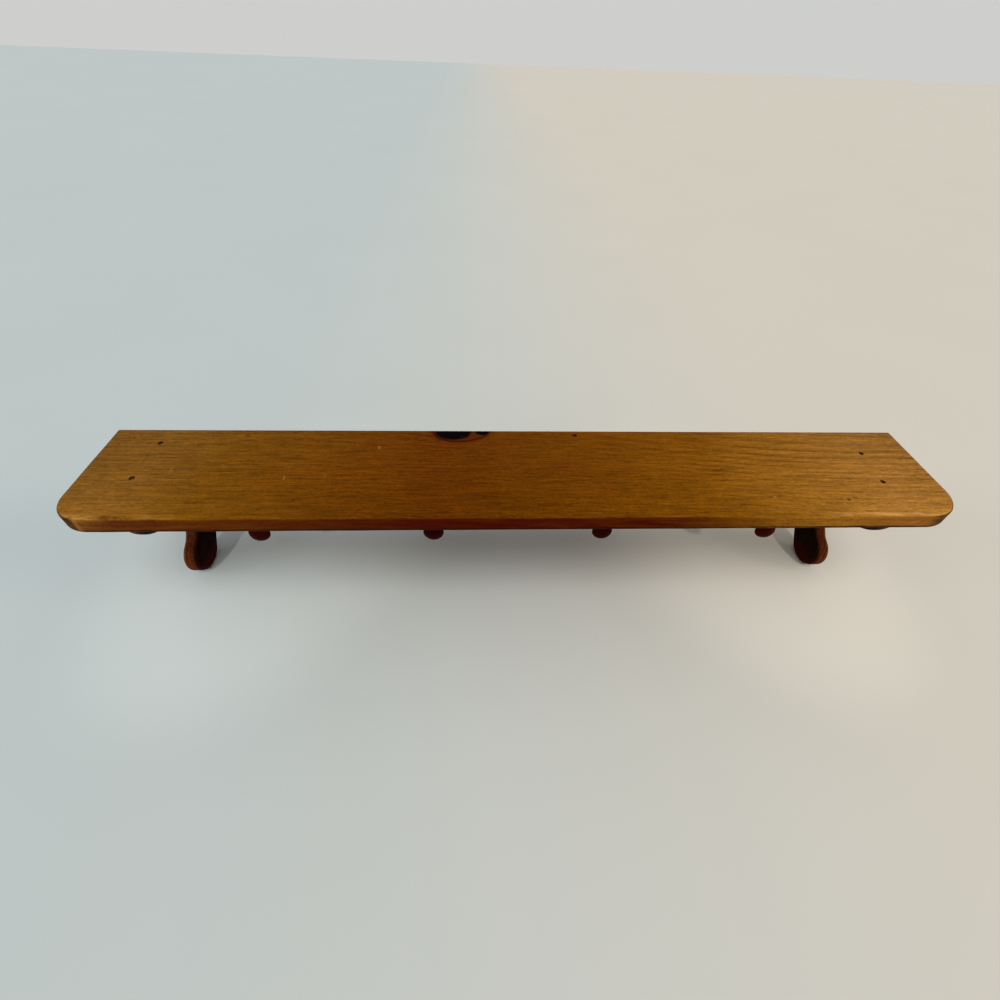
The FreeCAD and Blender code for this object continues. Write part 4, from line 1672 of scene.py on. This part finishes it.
@dataclass
class PegRow(SubAssembly):
    """Four turned pegs, which a node tree sets along the rail."""

    count: int = 4
    spacing: float = 596.9 / 3 * MM
    face: float = -19.05 * MM
    level: float = -38.1 * MM
    exposed: float = 73.0 * MM
    tenon: float = 6.35 * MM
    tenon_length: float = 15.875 * MM
    bevel: float = 0.8 * MM
    shoulder: float = 9.525 * MM
    band: float = 3.2 * MM
    band_rounding: float = 0.3 * MM
    neck: float = 5.2 * MM
    cove: float = 6.0 * MM
    knob: float = 11.90625 * MM
    rim: float = 3.2 * MM
    dome_height: float = 7.6 * MM
    sides: int = 56
    seed: int = 5

    def profile(self) -> list[tuple[float, float]]:
        """Works out the peg's radius along its axis, from the dome's tip to the tenon's end.

        Returns:
            Each point's radius and its distance from the rail's face.
        """
        rim_centre = Vector((self.knob - self.rim, self.exposed - self.dome_height))
        flat = self.dome_height - self.rim
        dome = (rim_centre.x ** 2 + self.dome_height ** 2 - self.rim ** 2) / (2 * flat)
        dome_centre = Vector((0, self.exposed - dome))
        reach = self.neck + self.cove - rim_centre.x
        drop = math.sqrt((self.cove + self.rim) ** 2 - reach ** 2)
        cove_centre = Vector((self.neck + self.cove, rim_centre.y - drop))
        slide = cove_centre.y - self.band
        waist = self.shoulder - self.neck
        taper = (slide ** 2 + waist ** 2) / (2 * waist)
        taper_centre = Vector((self.neck + taper, cove_centre.y))
        to_rim = bearing(dome_centre, rim_centre)
        to_cove = bearing(rim_centre, cove_centre)
        from_rim = bearing(cove_centre, rim_centre)
        to_band = bearing(taper_centre, Vector((self.shoulder, self.band)))
        turned = joined_up(
            arc(dome_centre, dome, math.pi / 2, to_rim, 8),
            arc(rim_centre, self.rim, to_rim, to_cove, 9),
            arc(cove_centre, self.cove, from_rim, math.pi, 10),
            arc(taper_centre, taper, math.pi, to_band + math.tau, 16),
        )
        soft = self.band_rounding
        return [(spot.x, spot.y) for spot, _ in turned[:-1]] + [
            (self.shoulder - soft * 0.4, self.band + soft * 0.6),
            (self.shoulder, self.band - soft),
            (self.shoulder, soft),
            (self.shoulder - soft, 0.0),
            (self.tenon, 0.0),
            (self.tenon, self.bevel - self.tenon_length),
            (self.tenon - self.bevel, -self.tenon_length),
            (0.0, -self.tenon_length),
        ]

    def build(self) -> list[bpy.types.Object]:
        """Turns one peg and repeats it, each turned its own way and a little darker or paler.

        Returns:
            The piece.
        """
        piece = lathe("turned_pegs", self.profile(), Vector((0, -1, 0)), self.sides)
        first_peg = (-self.spacing * (self.count - 1) / 2, self.face, self.level)
        recipe = Recipe("peg_row")
        count = recipe.asks("Count", "NodeSocketInt", self.count)
        spacing = recipe.asks("Spacing", "NodeSocketFloat", self.spacing)
        first = recipe.asks("First peg", "NodeSocketVector", first_peg)
        seed = recipe.asks("Seed", "NodeSocketInt", self.seed)
        material = recipe.asks("Material", "NodeSocketMaterial", TurnedWood().make())
        own = recipe.add("GeometryNodeInputPosition")
        on_points = {"data_type": "FLOAT_VECTOR", "domain": "POINT"}
        pattern = recipe.stored(recipe.given(), "own_place", own, on_points)
        ahead = recipe.add("ShaderNodeCombineXYZ", {}, {"X": spacing})
        line = {"Count": count, "Start Location": first, "Offset": ahead}
        row = recipe.add("GeometryNodeMeshLine", {"mode": "OFFSET"}, line)
        turn = recipe.add("ShaderNodeCombineXYZ", {}, {"Y": recipe.random(math.tau, seed)})
        pegs = recipe.set_out(row, pattern, turn)
        on_pegs = {"data_type": "FLOAT", "domain": "INSTANCE"}
        toned = recipe.stored(pegs, "peg_tone", recipe.random(1.0, seed + 1.0), on_pegs)
        recipe.run(toned, material, piece)
        nodes = [f"peg_{number}" for number in range(1, self.count + 1)]
        return [self.hand_over(piece, "turned_peg", nodes)]


@dataclass
class Nails(SubAssembly):
    """The finishing nails, each a copy of one pattern that a node tree sets and turns."""

    head: float = 1.7 * MM
    head_rim: float = 0.7 * MM
    head_bevel: float = 0.2 * MM
    head_length: float = 2.0 * MM
    dimple: float = 0.7 * MM
    dimple_depth: float = 0.4 * MM
    shank: float = 1.15 * MM
    length: float = 44.45 * MM
    point: float = 4.0 * MM
    top: float = 43.45 * MM
    outer_face: float = 406.4 * MM
    set_depth: float = 1.0 * MM
    sides: int = 24

    def profile(self) -> list[tuple[float, float]]:
        """Works out the nail's radius along its length, from its head down to its point.

        Returns:
            Each point's radius and its depth below the head's top.
        """
        return [
            (0.0, self.dimple_depth),
            (self.dimple * 0.5, self.dimple_depth * 0.75),
            (self.dimple, 0.0),
            (self.head - self.head_bevel, 0.0),
            (self.head, self.head_bevel * 0.75),
            (self.head, self.head_rim),
            (self.shank, self.head_length),
            (self.shank, self.length - self.point),
            (0.0, self.length),
        ]

    def places(self) -> list[tuple[Vector, Vector]]:
        """Lists where each nail head's top is and how the nail is turned there.

        Returns:
            The places and turns, the board's nails first.
        """
        down = Vector((0, 0, 0))
        placed = [(Vector((x, y, self.top)), down) for x, y in ShelfBoard().nails]
        for side in (-1, 1):
            inward = Vector((0, side * math.pi / 2, 0))
            x = side * (self.outer_face - self.set_depth)
            placed += [(Vector((x, y, z)), inward) for y, z in Brackets().side_nails]
        return placed

    def build(self) -> list[bpy.types.Object]:
        """Makes one nail and repeats it.

        Returns:
            The piece.
        """
        nail_pattern = lathe("nail_pattern", self.profile(), Vector((0, 0, -1)), self.sides)
        places = self.places()
        points = bpy.data.meshes.new("finishing_nails")
        points.from_pydata([place for place, _ in places], [], [])
        turns = points.attributes.new("turn", "FLOAT_VECTOR", "POINT")
        for number, (_, turn) in enumerate(places):
            turns.data[number].vector = turn
        piece = put_in_scene("finishing_nails", points)
        recipe = Recipe("nail_set")
        nail = recipe.asks("Nail", "NodeSocketObject", nail_pattern)
        material = recipe.asks("Material", "NodeSocketMaterial", NailSteel().make())
        shape = recipe.add("GeometryNodeObjectInfo", {}, {"Object": nail}, "Geometry")
        turned = recipe.add(
            "GeometryNodeInputNamedAttribute", {"data_type": "FLOAT_VECTOR"}, {"Name": "turn"}
        )
        recipe.run(recipe.set_out(recipe.given(), shape, turned), material, piece)
        bpy.data.objects.remove(nail_pattern)
        sides = ("left", "right")
        names = [f"shelf_nail_{side}_{row}" for side in sides for row in ("rear", "front")]
        names += [f"rail_nail_{side}" for side in sides]
        names += [f"bracket_nail_{side}_{level}" for side in sides for level in ("upper", "lower")]
        return [self.hand_over(piece, "nail_steel", names)]


# The studio


class LampKind(Enum):
    """Whether a lamp is far away, like a window, or a small spotlight near the object."""

    WINDOW = "SUN"
    SPOT = "SPOT"


@dataclass(frozen=True)
class Lamp:
    """A lamp with soft shadows.

    Attributes:
        kind: Whether it is a window or a spotlight.
        name: Its name.
        spread: How wide a window looks from the object, or a spotlight's cone, in degrees.
        strength: How strong it is.
        tint: Its colour.
        place: Where it hangs. A window only takes its direction from this.
        target: Where it shines.
        radius: How large a spotlight is.
    """

    kind: LampKind
    name: str
    spread: float
    strength: float
    tint: Place
    place: Place
    target: Place = (0.0, 0.0, 0.0)
    radius: float = 22 * MM

    def hang(self) -> None:
        """Hangs the lamp."""
        light = bpy.data.lights.new(self.name, self.kind.value)
        if self.kind is LampKind.WINDOW:
            light.angle = math.radians(self.spread)
        else:
            light.spot_size = math.radians(self.spread)
            light.spot_blend = 1.0
            light.shadow_soft_size = self.radius
        light.energy = self.strength
        light.color = self.tint
        lamp = put_in_scene(self.name, light)
        lamp.location = self.place
        away = Vector(self.place) - Vector(self.target)
        lamp.rotation_euler = away.to_track_quat("Z", "Y").to_euler()


@dataclass
class Studio:
    """The floor, the lamps, the world and the camera."""

    floor_level: float = -120.65 * MM
    floor_half: float = 9.0
    camera_place: Place = (-0.04874, -0.46232, 0.39179)
    camera_heading: float = -3.83
    camera_tilt: float = 45.0864
    camera_roll: float = 2.528
    camera_lens: float = 17.5027
    world_strength: float = 0.52
    world_tint: Tone = (0.97, 0.985, 1.0, 1.0)
    background: Tone = paint(206, 207, 205)
    lamps: tuple[Lamp, ...] = (
        Lamp(LampKind.WINDOW, "ceiling_lamp", 34.0, 1.29, (1.0, 1.0, 1.0), (0.0, -0.438, 0.899)),
        Lamp(LampKind.WINDOW, "right_window", 20.0, 0.52, (1.0, 0.93, 0.82), (0.893, -0.157, 0.423)),
        Lamp(LampKind.WINDOW, "left_window", 20.0, 0.37, (0.82, 0.94, 1.0), (-0.893, -0.157, 0.423)),
        Lamp(
            LampKind.SPOT, "right_spot", 21.0, 13.0, (1.0, 0.95, 0.88),
            (0.686, -0.826, 0.730), (0.330, -0.050, -0.120),
        ),
        Lamp(
            LampKind.SPOT, "left_spot", 21.0, 13.0, (1.0, 0.97, 0.93),
            (-0.727, -0.865, 0.683), (-0.325, -0.050, -0.120),
        ),
    )

    def lay_floor(self) -> None:
        """Lays a wide floor under the feet."""
        mesh = bpy.data.meshes.new("pale_floor")
        half, level = self.floor_half, self.floor_level
        corners = [(x * half, y * half, level) for x, y in ((-1, -1), (1, -1), (1, 1), (-1, 1))]
        mesh.from_pydata(corners, [], [(0, 1, 2, 3)])
        mesh.materials.append(PaleFloor().make())
        floor = put_in_scene("pale_floor", mesh)

    def light_world(self) -> None:
        """Gives the world a dim even light, and a pale background to camera, gloss and glass."""
        world = bpy.data.worlds.new("soft_room")
        bpy.context.scene.world = world
        world.use_nodes = True
        world.node_tree.nodes.clear()
        graph = Graph(world.node_tree)
        even = {"Color": self.world_tint, "Strength": self.world_strength}
        light = graph.add("ShaderNodeBackground", {}, even)
        shown = graph.add("ShaderNodeBackground", {}, {"Color": self.background, "Strength": 1.0})
        path = graph.node("ShaderNodeLightPath")
        camera, gloss, clear = (
            Signal(graph, path.outputs[ray])
            for ray in ("Is Camera Ray", "Is Glossy Ray", "Is Transmission Ray")
        )
        seen = graph.maths("MAXIMUM", graph.maths("MAXIMUM", camera, gloss), clear)
        surface = graph.add("ShaderNodeMixShader", {}, {0: seen, 1: light, 2: shown})
        graph.node("ShaderNodeOutputWorld", {}, {"Surface": surface})

    def set_camera(self) -> None:
        """Sets the camera where the photograph was taken from."""
        camera = bpy.data.cameras.new("photograph_view")
        camera.sensor_width = 36.0
        camera.lens = self.camera_lens
        camera.clip_start = 0.01
        camera.clip_end = 50.0
        holder = put_in_scene("photograph_view", camera)
        turn = (
            Matrix.Rotation(math.radians(self.camera_heading), 4, "Z")
            @ Matrix.Rotation(math.radians(self.camera_tilt), 4, "X")
            @ Matrix.Rotation(math.radians(self.camera_roll), 4, "Z")
        )
        holder.matrix_world = Matrix.Translation(self.camera_place) @ turn
        bpy.context.scene.camera = holder

    def set_up(self) -> None:
        """Sets up the whole studio."""
        self.lay_floor()
        for lamp in self.lamps:
            lamp.hang()
        self.light_world()
        self.set_camera()
        bpy.context.scene.view_settings.view_transform = "Standard"


def main() -> None:
    """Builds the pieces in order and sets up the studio."""
    logging.basicConfig(level=logging.INFO, format="%(name)s: %(message)s")
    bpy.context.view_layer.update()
    for part in (ShelfBoard(), Brackets(), PegRail(), PegRow(), Nails()):
        for piece in part.build():
            faces = len(piece.data.polygons)
            log.info("%s made %s with %d faces", type(part).__name__, piece.name, faces)
    Studio().set_up()
    bpy.context.view_layer.update()


if __name__ == "__main__":
    main()
